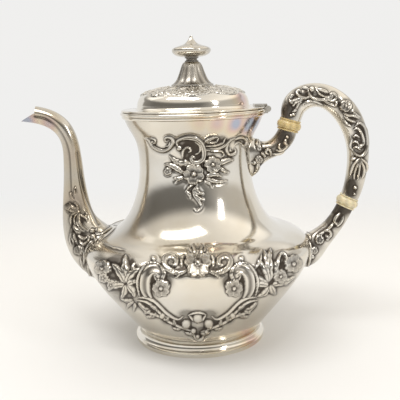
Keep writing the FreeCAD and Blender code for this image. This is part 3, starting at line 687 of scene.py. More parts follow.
def curve(start, start_slope, start_hold, end, end_slope, end_hold, steps=CURVE_STEPS):
    """Points of a smooth curve that leaves and arrives at the given slopes."""
    start = np.array(start, float)
    end = np.array(end, float)
    first = start + heading(start_slope) * start_hold
    last = end - heading(end_slope) * end_hold
    share = np.linspace(0.0, 1.0, steps)[:, None]
    rest = 1.0 - share
    return rest**3 * start + 3 * rest**2 * share * first + 3 * rest * share**2 * last + share**3 * end


def arc(start, middle, end, steps=CURVE_STEPS // 3):
    """Points of the circle's arc through three points."""
    a, b, c = (complex(*point) for point in (start, middle, end))
    ratio = (c - a) / (b - a)
    hub = a + (b - a) * (ratio - abs(ratio)**2) / (2j * ratio.imag)
    turns = np.unwrap(np.angle(np.array([a, b, c]) - hub))
    points = hub + abs(a - hub) * np.exp(1j * np.linspace(turns[0], turns[2], steps))
    return np.stack([points.real, points.imag], 1)


def joined(*runs):
    """One run of points, without the repeats where runs meet."""
    points = np.concatenate([np.atleast_2d(np.array(run, float)) for run in runs])
    keep = np.ones(len(points), bool)
    keep[1:] = np.linalg.norm(np.diff(points, axis=0), axis=1) > TINY
    return points[keep]


def through(points, steps=CURVE_STEPS):
    """Smooth line through points that are listed with their slopes and holds."""
    runs = []
    for (*start, slope, _, hold), (*end, end_slope, end_hold, _) in zip(points, points[1:]):
        runs.append(curve(start, slope, hold, end, end_slope, end_hold, steps))
    return joined(*runs)


def spline(values, places, wanted, first=None, last=None):
    """Smooth values at the wanted places, through the given values, with the end slopes where given."""
    values = np.array(values, float)
    count = len(places)
    gaps = np.diff(places)
    rises = np.diff(values, axis=0) / gaps[:, None]
    system = np.zeros((count, count))
    right = np.zeros_like(values)
    for i in range(1, count - 1):
        system[i, i - 1:i + 2] = gaps[i], 2 * (gaps[i - 1] + gaps[i]), gaps[i - 1]
        right[i] = 3 * (gaps[i] * rises[i - 1] + gaps[i - 1] * rises[i])
    system[0, 0] = system[-1, -1] = 1.0
    right[0] = rises[0] if first is None else first
    right[-1] = rises[-1] if last is None else last
    slopes = np.linalg.solve(system, right)
    part = np.clip(np.searchsorted(places, wanted, side="right") - 1, 0, count - 2)
    share = ((wanted - places[part]) / gaps[part])[:, None]
    gap = gaps[part][:, None]
    rest = 1.0 - share
    return (values[part] * (1 + 2 * share) * rest**2 + values[part + 1] * (3 - 2 * share) * share**2
            + slopes[part] * gap * share * rest**2 - slopes[part + 1] * gap * share**2 * rest)


def steps_between(points):
    """Running length along a line of points."""
    return np.concatenate([[0.0], np.cumsum(np.linalg.norm(np.diff(points, axis=0), axis=1))])


def looked_up(wanted, places, values):
    """Columns of values at the wanted places, straight between the given places."""
    return np.stack([np.interp(wanted, places, column) for column in values.T], 1)


def resampled(points, count):
    """The same line with evenly spaced points."""
    along = steps_between(points)
    return looked_up(np.linspace(0.0, along[-1], count), along, points)


def unit(vectors):
    """The same directions with a length of 1."""
    return vectors / (np.linalg.norm(vectors, axis=-1, keepdims=True) + TINY)


def line_normals(points):
    """Sideways directions of a line of points in a plane, to the right of its heading."""
    ahead = unit(np.gradient(points, axis=0))
    return np.stack([ahead[:, 1], -ahead[:, 0]], 1)


BODY_OUTLINE = through(BODY_POINTS, BODY_STEPS)


def body_radius(height):
    return np.interp(height, BODY_OUTLINE[:, 1], BODY_OUTLINE[:, 0])


# Where a point of the frame lies in the photograph
def camera_axes():
    pitch, yaw, roll = CAMERA_PITCH, CAMERA_YAW, CAMERA_ROLL
    forward = np.array([math.sin(yaw) * math.cos(pitch), math.cos(yaw) * math.cos(pitch), -math.sin(pitch)])
    level = np.array([math.cos(yaw), -math.sin(yaw), 0.0])
    above = np.cross(level, forward)
    right = math.cos(roll) * level + math.sin(roll) * above
    up = -math.sin(roll) * level + math.cos(roll) * above
    return right, up, forward


def photo_place(points):
    """Picture dots, across and down, of points on the camera's side of the pot, and of mirrored far ones."""
    right, up, forward = camera_axes()
    near = points.copy()
    near[..., 1] = -np.abs(near[..., 1])
    ray = near - np.array(CAMERA_PLACE)
    scale = CAMERA_FOCAL / (ray @ forward)
    return PICTURE_SIZE / 2 + (ray @ right) * scale, PICTURE_SIZE / 2 - (ray @ up) * scale


# Embossed ornament, drawn shape by shape in picture dots
def blurred(values, reach):
    """Soft average over a square of cells, made twice."""
    width = 2 * reach + 1
    for axis in (0, 0, 1, 1):
        padded = np.pad(np.moveaxis(values, axis, 0), ((reach + 1, reach), (0, 0)), mode="edge")
        total = np.cumsum(padded, axis=0)
        values = np.moveaxis((total[width:] - total[:-width]) / width, 0, axis)
    return values


def hump(values, middle, reach):
    """Soft hump of height 1 round a middle value."""
    return np.exp(-((values - middle) / reach)**2)


def smooth_line(points, least):
    """Smooth line through points, in short steps."""
    points = np.array(points, float)
    along = steps_between(points)
    count = max(least, int(along[-1] / STROKE_STEP))
    if len(points) > 2:
        return spline(points, along, np.linspace(0, along[-1], count))
    return resampled(points, count)


class Relief:
    """Heights and darkening of ornament over a patch of the photograph."""

    def __init__(self, left, top, right, bottom):
        self.rise = bpy.context.scene.coffee_pot_ornament.relief_height / MILLIMETRE
        self.corner = np.array([left, top], float)
        columns = int((right - left) * RASTER_FINENESS) + 1
        rows = int((bottom - top) * RASTER_FINENESS) + 1
        self.height, self.shade, self.tone = np.zeros((3, rows, columns))

    def window(self, points, margin):
        """Slice of the patch round some points, and its cells' places across and down."""
        points = np.atleast_2d(points)
        low = (points.min(0) - margin - self.corner) * RASTER_FINENESS
        high = (points.max(0) + margin - self.corner) * RASTER_FINENESS + WINDOW_EDGE
        (left, top), (right, bottom) = np.clip([low, high], 0, self.height.shape[::-1]).astype(int)
        across = self.corner[0] + np.arange(left, right)[None, :] / RASTER_FINENESS
        down = self.corner[1] + np.arange(top, bottom)[:, None] / RASTER_FINENESS
        return (slice(top, bottom), slice(left, right)), across, down

    def lay(self, place, shape, tone):
        """Lays a raised shape over what is there, with a chased line round it and its own darkening."""
        if shape.size == 0:
            return
        patch = self.height[place]
        cover = blurred((shape > 0).astype(float), CHASED_LINE)
        patch *= 1 - np.clip(2 * cover, 0, 1) * CHASED_DEPTH
        np.maximum(patch, shape, out=patch)
        self.tone[place] = np.where(shape > 0, tone, self.tone[place])

    def stroke(self, points, width, height, hollow=0.0, tapers=STROKE_TAPERS, lobes=0, vein=0.0):
        """A raised line that tapers to its ends; hollow grooves its middle, lobes notch its edges."""
        line = smooth_line(points, max(STROKE_LEAST, LOBE_POINTS * lobes))
        share = np.linspace(0, 1, len(line))
        start, end = tapers
        swell = np.minimum(np.minimum((share + BLUNT_END) / start, (1 + BLUNT_END - share) / end), 1)
        notch = np.abs(np.sin(np.pi * lobes * share)) if lobes else np.ones(len(line))
        widths = width * np.sqrt(swell) * (1 - LOBE_NOTCH * (1 - notch))
        place, across, down = self.window(line, width + 1)
        ratio = np.full(np.broadcast_shapes(across.shape, down.shape), FAR_RATIO)
        lift = np.zeros_like(ratio)
        rib = np.zeros_like(ratio)
        for i, step in enumerate(np.diff(line, axis=0)):
            part = ((across - line[i, 0]) * step[0] + (down - line[i, 1]) * step[1]) / (step @ step + TINY)
            part = np.clip(part, 0, 1)
            away = np.hypot(across - line[i, 0] - part * step[0], down - line[i, 1] - part * step[1])
            here = away / (widths[i] + part * (widths[i + 1] - widths[i]))
            nearer = here < ratio
            ratio = np.where(nearer, here, ratio)
            lift = np.where(nearer, swell[i], lift)
            rib = np.where(nearer, 1 - notch[i], rib)
        groove = hollow * np.clip(1 - (ratio / GROOVE_HALF)**2, 0, 1)
        midrib = hump(ratio, 0, MIDRIB_HALF)
        side_rib = rib**2 * np.clip(ratio * 2, 0, 1)
        body = np.sqrt(np.clip(1 - ratio**2, 0, 1)) * (1 - groove)
        body *= 1 - vein * np.maximum(midrib, SIDE_RIB * side_rib)
        edge = np.clip((ratio - STROKE_EDGE) / (1 - STROKE_EDGE), 0, 1)
        tone = EDGE_TONE * edge + GROOVE_TONE * groove + VEIN_TONE * vein * np.maximum(midrib, side_rib)
        self.lay(place, height * self.rise * body * (LOW_END + (1 - LOW_END) * lift), tone)

    def leaf(self, base, tip, width, height, bend, lobes):
        """A leaf with notched edges and sunk ribs, bent to one side."""
        along = tip - base
        aside = np.array([along[1], -along[0]]) * bend
        points = [base, *(base + along * knee + aside for knee in LEAF_KNEES), tip]
        self.stroke(points, width, height, tapers=LEAF_TAPERS, lobes=lobes, vein=LEAF_VEIN)

    def bead(self, middle, radius, height):
        place, across, down = self.window(middle, radius + 1)
        ratio = np.hypot(across - middle[0], down - middle[1]) / radius
        edge = np.clip((ratio - BEAD_EDGE) / (1 - BEAD_EDGE), 0, 1)
        self.lay(place, height * self.rise * np.sqrt(np.clip(1 - ratio**2, 0, 1)), EDGE_TONE * edge)

    def flower(self, middle, radius, height, turn):
        """Petals like notched dishes with a raised edge, round a bead."""
        place, across, down = self.window(middle, radius + 1)
        right = across - middle[0]
        below = down - middle[1]
        out = np.hypot(right, below) / radius
        wedge = 2 * math.pi / PETALS
        side = (np.arctan2(below, right) - math.radians(turn) + wedge / 2) % wedge - wedge / 2
        ahead = out * np.cos(side)
        beside = out * np.sin(side)
        spread = PETAL_SPREAD * math.sin(wedge / 2)
        notch = hump(ahead, NOTCH_PLACE, NOTCH_LENGTH) * hump(beside, 0, NOTCH_WIDTH)
        petal = 1 - ((ahead - PETAL_MIDDLE) / PETAL_HALF)**2 - (beside / spread)**2
        petal = np.clip(petal - NOTCH_DEPTH * notch, 0, 1)
        dish = np.clip((petal - DISH_START) / DISH_SLOPE, 0, 1)
        dip = hump(ahead, DIP_PLACE, DIP_LENGTH) * hump(beside, 0, DIP_WIDTH * spread)
        form = np.sqrt(np.clip(petal / DISH_START, 0, 1)) * (1 - DISH_DEPTH * dish - DIP_DEPTH * dip)
        tone = OUTLINE_TONE * hump(petal, 0, LINE_WIDTH) + DISH_TONE * dish + DIP_TONE * dip
        tone += HEART_TONE * hump(out, HEART_RING, LINE_WIDTH)
        self.lay(place, height * self.rise * form * (petal > 0), np.clip(tone, 0, 1))
        self.bead(middle, HEART_RADIUS * radius, HEART_HEIGHT * height)

    def darken(self, place, tone):
        self.shade[place] = np.maximum(self.shade[place], tone)

    def dusk(self, middle, reach, depth):
        """Darkens the ground round a point."""
        place, across, down = self.window(middle, DUSK_MARGIN * max(reach))
        cloud = hump(across, middle[0], reach[0]) * hump(down, middle[1], reach[1])
        self.darken(place, depth * np.minimum(DUSK_GAIN * cloud, 1))

    def crease(self, points, width, depth):
        """A soft valley pressed between the raised shapes, its floor darkened with painted shade."""
        line = smooth_line(points, STROKE_LEAST)
        place, across, down = self.window(line, 2 * width)
        away = np.full(np.broadcast_shapes(across.shape, down.shape), FAR_RATIO)
        for point in line:
            away = np.minimum(away, np.hypot(across - point[0], down - point[1]) / width)
        valley = hump(away, 0, 1) * np.clip(1 - self.height[place] / CREASE_STOP, 0, 1)
        self.height[place] -= depth * valley
        # Painted shade along the valley's floor
        self.darken(place, CREASE_SHADE * valley**CREASE_SHARPNESS)

    def draw(self, sheet, strokes=(), leaves=(), flowers=(), beads=(), shadows=(), creases=(), mirror=None):
        """Draws a region's shapes.

        The sheet has its left and top in picture dots and its units per dot. Strokes are listed by path,
        half width, height and groove if any, leaves by base, tip, half width, height, bend and lobes,
        flowers by middle, radius, height and turn, beads by middle, radius and height, shadows by middle,
        reach and depth, creases by path, half width and depth. Heights are shares of the relief height.
        Mirror is a line across the sheet, and flips the shapes about it.
        """
        *corner, scale = sheet

        def dots(points):
            places = np.array(points, float)
            if mirror is not None:
                places[..., 0] = 2 * mirror - places[..., 0]
            return places / scale + corner

        for middle, reach, depth in shadows:
            self.dusk(dots(middle), np.array(reach) / scale, depth)
        for points, width, *form in strokes:
            self.stroke(dots(points), width / scale, *form)
        for base, tip, width, height, bend, lobes in leaves:
            bend = bend if mirror is None else -bend
            self.leaf(dots(base), dots(tip), width / scale, height, bend, lobes)
        for middle, radius, height, turn in flowers:
            turn = turn if mirror is None else HALF_TURN - turn
            self.flower(dots(middle), radius / scale, height, turn)
        for middle, radius, height in beads:
            self.bead(dots(middle), radius / scale, height)
        for points, width, depth in creases:
            self.crease(dots(points), width / scale, depth)

    def settle(self, recess):
        """Sinks and darkens the ground between the raised shapes."""
        raised = np.clip(self.height / RAISED_FULL, 0, 1)
        crowding = blurred((self.height > RAISED_START).astype(float), int(GROUND_REACH * RASTER_FINENESS))
        ground = np.clip(GROUND_GAIN * crowding - GROUND_CLEAR, 0, 1) * (1 - raised)
        near = blurred(self.height, int(HOLLOW_REACH * RASTER_FINENESS))
        hollow = np.clip(near - self.height, 0, 1) / HOLLOW_FULL
        shade = GROUND_TONE * ground + HOLLOW_TONE * hollow + self.shade * (1 - raised) + self.tone * raised
        self.shade = np.clip(shade, 0, 1)
        self.height = blurred(self.height - recess * ground, RELIEF_SMOOTHING)

    def read(self, across, down):
        """Height and darkening at places on the patch."""
        rows, columns = self.height.shape
        column = np.clip((across - self.corner[0]) * RASTER_FINENESS, 0, columns - LAST_CELL)
        row = np.clip((down - self.corner[1]) * RASTER_FINENESS, 0, rows - LAST_CELL)
        left = column.astype(int)
        top = row.astype(int)
        aside = column - left
        below = row - top
        found = []
        for grid in (self.height, self.shade):
            upper = grid[top, left] * (1 - aside) + grid[top, left + 1] * aside
            lower = grid[top + 1, left] * (1 - aside) + grid[top + 1, left + 1] * aside
            found.append(upper * (1 - below) + lower * below)
        return found


def embossed(patch, regions, sunk=True):
    """Relief of a patch with its regions drawn, and the ground between the shapes sunk or not."""
    relief = Relief(*patch)
    for region in regions:
        relief.draw(**region)
    relief.settle(bpy.context.scene.coffee_pot_ornament.ground_recess / MILLIMETRE if sunk else 0.0)
    return relief


# Meshes
def strength_at(points, patches):
    """Strength of listed patches at points of the frame, the same on both sides of the middle plane."""
    strength = np.zeros(points.shape[:-1])
    folded = np.stack([points[..., 0], np.abs(points[..., 1]), points[..., 2]], -1)
    for place, reach, most in patches:
        away = folded - place
        strength = np.maximum(strength, most * np.exp(-(away**2).sum(-1) / reach**2))
    return strength


def put(name, data):
    """New object in the scene."""
    piece = bpy.data.objects.new(name, data)
    bpy.context.scene.collection.objects.link(piece)
    return piece


def stands_for(piece, body, slot, *nodes):
    """Puts a piece on a body and in the place of the nodes that are named; the slot is not used."""
    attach(piece, body)
    if nodes:
        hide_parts(*nodes)


def put_mesh(name, points, faces, shade, material=None):
    """Smooth mesh of points in millimetres and lists of faces, turned outward; silver if nothing is said."""
    volume = 0.0
    for run in faces:
        for k in range(2, run.shape[1]):
            sides = np.cross(points[run[:, k - 1]], points[run[:, k]])
            volume += np.einsum("ij,ij", points[run[:, 0]], sides)
    if volume < 0:
        faces = [run[:, ::-1] for run in faces]
    corners = np.concatenate([run.ravel() for run in faces])
    sizes = np.concatenate([np.full(len(run), run.shape[1]) for run in faces])
    mesh = bpy.data.meshes.new(name)
    mesh.vertices.add(len(points))
    mesh.vertices.foreach_set("co", (points * MILLIMETRE).astype(np.float32).ravel())
    mesh.loops.add(len(corners))
    mesh.loops.foreach_set("vertex_index", corners.astype(np.int32))
    mesh.polygons.add(len(sizes))
    mesh.polygons.foreach_set("loop_start", np.concatenate([[0], np.cumsum(sizes)[:-1]]).astype(np.int32))
    mesh.polygons.foreach_set("use_smooth", np.ones(len(sizes), bool))
    # The darkening holds patina in the recesses and painted shade on the spout and the body's darker patches
    for title, values in (("patina_and_shade", shade), ("tarnish", strength_at(points, TARNISH_PATCHES))):
        layer = mesh.attributes.new(title, "FLOAT", "POINT")
        layer.data.foreach_set("value", values.astype(np.float32))
    mesh.materials.append(material or silver())
    mesh.update(calc_edges=True)
    mesh.validate()
    mesh.set_sharp_from_angle(angle=SHARP_ANGLE)
    return put(name, mesh)


def numbered(grid, wrap, first=0):
    """Numbers of a grid's points, with the first column again at the end where the grid goes round."""
    index = first + np.arange(grid[..., 0].size).reshape(grid.shape[:2])
    return np.concatenate([index, index[:, :1]], 1) if wrap else index


def grid_faces(index):
    return np.stack([index[:-1, :-1], index[:-1, 1:], index[1:, 1:], index[1:, :-1]], -1).reshape(-1, 4)


def zipped(one, other):
    """Triangles between two lines of point numbers that run side by side."""
    triangles = []
    i = j = 0
    last_i = len(one) - 1
    last_j = len(other) - 1
    while i < last_i or j < last_j:
        if j == last_j or (i < last_i and (i + 1) * last_j <= (j + 1) * last_i):
            triangles.append((one[i], one[i + 1], other[j]))
            i += 1
        else:
            triangles.append((one[i], other[j + 1], other[j]))
            j += 1
    return np.array(triangles)


def shell(name, outer, inner, shade, wrap=False):
    """Closed shell between a fine outer grid and a coarser inner grid over the same patch."""
    front = numbered(outer, wrap)
    back = numbered(inner, wrap, front.max() + 1)
    faces = [grid_faces(front), grid_faces(back)[:, ::-1]]
    faces += [zipped(front[0], back[0])[:, ::-1], zipped(front[-1], back[-1])]
    if not wrap:
        faces += [zipped(front[:, 0], back[:, 0]), zipped(front[:, -1], back[:, -1])[:, ::-1]]
    points = np.concatenate([outer.reshape(-1, 3), inner.reshape(-1, 3)])
    darkness = np.concatenate([shade.ravel(), np.full(inner[..., 0].size, WALL_PATINA)])
    return put_mesh(name, points, faces, darkness)


def backed(name, points, normals, lift, wall, shade, columns):
    """Shell of a grid that is raised by lift, with a coarse back under it at the depth of the wall."""
    rows = np.linspace(0, len(points) - 1, BACKING_ROWS).astype(int)
    places = np.linspace(0, points.shape[1] - 1, columns).astype(int)
    back = (points - normals * wall)[rows][:, places]
    return shell(name, points + normals * lift[..., None], back, shade)


def capped(name, points, shade, end_shade, material=None):
    """Tube of a grid whose columns go round, closed at both ends, which have a darkening of their own."""
    index = numbered(points, wrap=True)
    low = np.full(points.shape[1], index.max() + 1)
    faces = [grid_faces(index)]
    faces.append(np.stack([index[0, 1:], index[0, :-1], low], 1))
    faces.append(np.stack([index[-1, :-1], index[-1, 1:], low + 1], 1))
    ends = points[[0, -1]].mean(1)
    darkness = np.concatenate([shade.ravel(), end_shade])
    return put_mesh(name, np.concatenate([points.reshape(-1, 3), ends]), faces, darkness, material)


def carried(pairs, around):
    """Grid of pairs of radius and height, carried round the axis in the given directions."""
    level = pairs[:, None, :1] * around
    return np.concatenate([level, np.broadcast_to(pairs[:, None, 1:], (*level.shape[:2], 1))], -1)


def spun(outline, shape, steps):
    """Grid turned from an outline of radii and heights, with its darkening; shape may change both."""
    turn = np.linspace(0, 2 * math.pi, steps, endpoint=False)
    points = carried(outline, np.stack([np.cos(turn), np.sin(turn)], 1))
    return shape(points, np.zeros(points.shape[:2]))


def dulled(level):
    """Shape step that leaves the points and gives an even patina."""
    return lambda points, shade: (points, shade + level)


def turned(name, outline, shape=dulled(0.0), steps=TURNED_STEPS):
    """Ring turned from a closed outline."""
    points, shade = spun(outline, shape, steps)
    index = numbered(points, wrap=True)
    faces = [grid_faces(np.concatenate([index, index[:1]]))]
    return put_mesh(name, points.reshape(-1, 3), faces, shade.ravel())


def turned_solid(name, outline, shape=dulled(0.0), steps=TURNED_STEPS, material=None):
    """Solid turned from an open outline, closed at the axis above and below."""
    points, shade = spun(outline, shape, steps)
    return capped(name, points, shade, shade[[0, -1]].mean(1), material)


def tube_grid(stations, first, last, rows, columns):
    """Grid of ovals square to a tube through stations in the middle plane, headed as given at its ends."""
    stations = np.array(stations, float)
    places = steps_between(stations[:, :2])
    dense = np.linspace(0, places[-1], PATH_STEPS)
    path = spline(stations[:, :2], places, dense, first, last)
    sizes = spline(stations[:, 2:], places, dense)
    along = steps_between(path)
    even = np.linspace(0, along[-1], rows)
    middles = looked_up(even, along, path)
    halves = looked_up(even, along, sizes)
    ahead = unit(np.gradient(middles, axis=0))
    turn = np.linspace(0, 2 * math.pi, columns, endpoint=False)
    deep = halves[:, :1] * np.cos(turn)
    wide = halves[:, 1:] * np.sin(turn)
    return np.stack([middles[:, :1] - ahead[:, 1:] * deep, -wide, middles[:, 1:] + ahead[:, :1] * deep], -1)


def grid_normals(points):
    """Outward directions of a grid whose rows run along a tube and whose columns go round it."""
    ring = np.concatenate([points[:, -1:], points, points[:, :1]], 1)
    return unit(np.cross(ring[:, 2:] - ring[:, :-2], np.gradient(points, axis=0)))


def clear_of_body(points):
    """How far points lie outside the middle of the body's wall."""
    return np.hypot(points[..., 0], points[..., 1]) - body_radius(points[..., 2]) + BODY_WALL / 2


def trimmed(points, keep, rows):
    """Cuts each line of a grid to the stretch where keep is above 0, and spaces its points evenly."""
    places = np.arange(len(points))
    grid = np.empty((rows, *points.shape[1:]))
    for column, level in enumerate(keep.T):
        first, last = np.nonzero(level > 0)[0][[0, -1]]
        start = first - level[first] / (level[first] - level[first - 1]) if first > 0 else first
        end = last + level[last] / (level[last] - level[last + 1]) if last < places[-1] else last
        grid[:, column] = looked_up(np.linspace(start, end, rows), places, points[:, column])
    return grid


# Node trees
def feed(node, inputs):
    """Links outputs to a node's inputs, or sets the inputs' own values."""
    for name, value in inputs.items():
        if isinstance(value, bpy.types.NodeSocket):
            node.id_data.links.new(value, node.inputs[name])
        else:
            node.inputs[name].default_value = value


def add(tree, kind, output, inputs=None, **options):
    """Adds a node with its options and inputs, and gives one of its outputs."""
    node = tree.nodes.new(kind)
    for name, value in options.items():
        setattr(node, name, value)
    feed(node, inputs or {})
    return node.outputs[output]


def maths(tree, operation, *values):
    return add(tree, "ShaderNodeMath", "Value", dict(enumerate(values)), operation=operation)


def blend(tree, share, one, other):
    return add(tree, "ShaderNodeMix", "Result", {"Factor": share, "A": one, "B": other}, data_type="RGBA")


def remap(tree, value, start=0.0, end=1.0, low=0.0, high=1.0, smooth=False):
    """Output that runs from low to high while a value runs from start to end."""
    inputs = {"Value": value, "From Min": start, "From Max": end, "To Min": low, "To Max": high}
    kind = "SMOOTHSTEP" if smooth else "LINEAR"
    return add(tree, "ShaderNodeMapRange", "Result", inputs, interpolation_type=kind)


def opaque(colour):
    return (*colour, 1.0)


def toned(colour, tone):
    return opaque(tone * part for part in colour)


# Materials
def new_material(name):
    """New material with its node tree and its shader."""
    material = bpy.data.materials.new(name)
    material.use_nodes = True
    return material, material.node_tree, material.node_tree.nodes["Principled BSDF"]


def silver_material(settings):
    """Polished silver, faintly tarnished, and darkened by patina in the recesses and by painted shade on the
    spout and on darker patches of the body.
    """
    material, tree, shader = new_material(SILVER)
    place = add(tree, "ShaderNodeTexCoord", "Object")
    patina_and_shade = add(tree, "ShaderNodeAttribute", "Fac", attribute_name="patina_and_shade")
    stain = add(tree, "ShaderNodeAttribute", "Fac", attribute_name="tarnish")
    cloud = add(tree, "ShaderNodeTexNoise", "Fac",
                {"Vector": place, "Scale": CLOUD_SCALE, "Detail": CLOUD_DETAIL})
    spread = remap(tree, cloud, CLOUD_START, CLOUD_FULL, high=CLOUD_MOST)
    plain = blend(tree, spread, opaque(settings.silver_colour), opaque(settings.tarnish_colour))
    bloom = maths(tree, "MULTIPLY", stain, remap(tree, cloud, low=BLOOM_LEAST, high=BLOOM_MOST))
    hues = add(tree, "ShaderNodeValToRGB", "Color", {"Fac": bloom})
    stops = hues.node.color_ramp.elements
    for where, _ in BLOOM_HUES[1:-1]:
        stops.new(where)
    for stop, (_, colour) in zip(stops, BLOOM_HUES):
        stop.color = opaque(colour)
    stained = blend(tree, bloom, plain, hues)
    wear = remap(tree, cloud, low=settings.silver_roughness, high=settings.silver_roughness + WEAR_ROUGHNESS)
    ripple = add(tree, "ShaderNodeTexNoise", "Fac", {"Vector": place, "Scale": RIPPLE_SCALE})
    bump = add(tree, "ShaderNodeBump", "Normal",
               {"Strength": RIPPLE_STRENGTH, "Distance": RIPPLE_DEPTH, "Height": ripple})
    feed(shader, {
        "Metallic": 1.0,
        "Base Color": blend(tree, patina_and_shade, stained, opaque(settings.patina_and_shade_colour)),
        "Roughness": maths(tree, "MULTIPLY_ADD", patina_and_shade, PATINA_ROUGHNESS, wear),
        "Normal": bump,
    })
    return material


def silver():
    """The silver material, made once."""
    return bpy.data.materials.get(SILVER) or silver_material(bpy.context.scene.coffee_pot_finish)


def ivory_material(name, colour):
    """Polished ivory colour with faint growth lines."""
    material, tree, shader = new_material(name)
    place = add(tree, "ShaderNodeTexCoord", "Object")
    lines = add(tree, "ShaderNodeTexWave", "Fac",
                {"Vector": place, "Scale": GROWTH_SCALE, "Distortion": GROWTH_WAVER, "Detail": GROWTH_DETAIL})
    feed(shader, {
        "Base Color": blend(tree, lines, opaque(colour), toned(colour, GROWTH_TONE)),
        "Roughness": IVORY_ROUGHNESS,
        "Subsurface Weight": IVORY_GLOW,
        "Subsurface Radius": IVORY_GLOW_DEPTH,
    })
    return material


def paper_material(settings):
    """Pale paper, lit by the lamps near the pot and evenly pale far from it."""
    material, tree, shader = new_material("paper")
    place = add(tree, "ShaderNodeTexCoord", "Object")
    grain = add(tree, "ShaderNodeTexNoise", "Fac", {"Vector": place, "Scale": PAPER_GRAIN})
    tone = blend(tree, grain, opaque(settings.floor_colour), toned(settings.floor_colour, PAPER_TONE))
    feed(shader, {"Base Color": tone, "Roughness": PAPER_ROUGHNESS})
    glow = add(tree, "ShaderNodeEmission", "Emission", {"Color": tone})
    rays = tree.nodes.new("ShaderNodeLightPath").outputs
    camera_or_gloss = maths(tree, "MAXIMUM", rays["Is Camera Ray"], rays["Is Glossy Ray"])
    seen = maths(tree, "MAXIMUM", camera_or_gloss, rays["Is Transmission Ray"])
    away = add(tree, "ShaderNodeVectorMath", "Value", {0: place}, operation="LENGTH")
    far = remap(tree, away, LIT_FLOOR_REACH, EVEN_FLOOR_START, smooth=True)
    even = maths(tree, "MULTIPLY", far, seen)
    surface = add(tree, "ShaderNodeMixShader", "Shader", {"Fac": even, 1: shader.outputs["BSDF"], 2: glow})
    feed(tree.nodes["Material Output"], {"Surface": surface})
    return material


# Settings
colour_property = partial(FloatVectorProperty, subtype="COLOR", min=0.0, max=1.0)
power_property = partial(FloatProperty, unit="POWER", min=0.0, max=200.0)


class CoffeePotFinish(bpy.types.PropertyGroup):
    """Colours and polish."""
    silver_colour: colour_property(
        name="Silver", description="Colour of clean silver", default=(0.85, 0.815, 0.745))
    tarnish_colour: colour_property(
        name="Tarnish", description="Colour of faint tarnish", default=(0.73, 0.65, 0.51))
    # Colour of the patina, which also colours the painted shade on the spout and the body's darker patches
    patina_and_shade_colour: colour_property(
        name="Patina", description="Colour of dark recesses", default=(0.075, 0.062, 0.05))
    silver_roughness: FloatProperty(
        name="Polish", description="Roughness of clean silver", subtype="FACTOR",
        default=0.07, min=0.0, max=1.0)
    upper_ivory: colour_property(
        name="Upper Ring", description="Colour of the upper ring", default=(0.72, 0.56, 0.27))
    lower_ivory: colour_property(
        name="Lower Ring", description="Colour of the lower ring", default=(0.82, 0.72, 0.48))


class CoffeePotOrnament(bpy.types.PropertyGroup):
    """Embossed ornament."""
    relief_height: FloatProperty(
        name="Relief", description="Height of a shape that is listed with height 1", unit="LENGTH",
        default=0.0015, min=0.0, max=0.003)
    ground_recess: FloatProperty(
        name="Ground", description="Depth of the ground between shapes", unit="LENGTH",
        default=0.00045, min=0.0, max=0.001)
    garland_motifs: IntProperty(
        name="Garland Motifs", description="Motifs round the lid", default=8, min=3, max=16)


class CoffeePotStage(bpy.types.PropertyGroup):
    """Paper and light."""
    floor_colour: colour_property(
        name="Paper", description="Colour of the paper", default=(0.88, 0.875, 0.863))
    room_colour: colour_property(
        name="Room", description="Colour of the room", default=(1.0, 0.955, 0.885))
    wall_level: FloatProperty(
        name="Walls", description="Brightness of the walls", default=0.17, min=0.0, max=2.0)
    ceiling_level: FloatProperty(
        name="Ceiling", description="Brightness of the ceiling", default=0.85, min=0.0, max=2.0)
    side_change: FloatProperty(
        name="Side Change", description="How much paler the right side is", default=0.4, min=0.0, max=0.5)
    back_change: FloatProperty(
        name="Back Change", description="How much paler the back is", default=0.25, min=0.0, max=0.5)
    overhead_power: power_property(
        name="Overhead Box", description="Power of the wide soft box, in watts", default=9.0)
    right_power: power_property(
        name="Right Box", description="Power of the narrow soft box, in watts", default=1.7)
    left_power: power_property(
        name="Left Box", description="Power of the left soft box, in watts", default=0.6)


# Body pieces
def body_wall(name, low, high, rows, columns, side, relief):
    """Half way round the wall between two heights, on the camera's side (-1) or the far side (1)."""
    inside = BODY_OUTLINE[(BODY_OUTLINE[:, 1] > low) & (BODY_OUTLINE[:, 1] < high)]
    line = resampled(joined([body_radius(low), low], inside, [body_radius(high), high]), rows)
    turn = np.linspace(-math.pi / 2, math.pi / 2, columns)
    around = np.stack([np.sin(turn), side * np.cos(turn)], 1)
    points = carried(line, around)
    normals = carried(line_normals(line), around)
    height, shade = relief.read(*photo_place(points))
    # Painted shade on the shoulder and lower belly, and dull tarnish under the rim, darken the wall
    shade = np.maximum(shade, strength_at(points, SHADE_AND_TARNISH_PATCHES))
    return backed(name, points, normals, height, BODY_WALL, shade, BACKING_COLUMNS)


def build_body():
    relief = embossed(BODY_PATCH, (NECK, *BELLY_REGIONS, SPOUT_ROOT))
    belly = (FOOT_HEIGHT, BODY_SPLIT_HEIGHT, BELLY_ROWS, BELLY_COLUMNS)
    neck = (BODY_SPLIT_HEIGHT, RIM_HEIGHT, NECK_ROWS, NECK_COLUMNS)
    for side, word in ((-1, "front"), (1, "back")):
        piece = body_wall("belly_" + word, *belly, side, relief)
        stands_for(piece, "pot", "silver", "body_bowl", "body_shoulder")
        piece = body_wall("neck_" + word, *neck, side, relief)
        stands_for(piece, "pot", "silver", "body_neck")
    low = FOOT_HEIGHT
    high = FOOT_HEIGHT + BODY_WALL
    floor = joined((FLOOR_HOLE, low), (BASE_RADIUS, low), (BASE_RADIUS, high), (FLOOR_HOLE, high))
    stands_for(turned_solid("pot_floor", floor), "pot", "silver", "body_bowl")


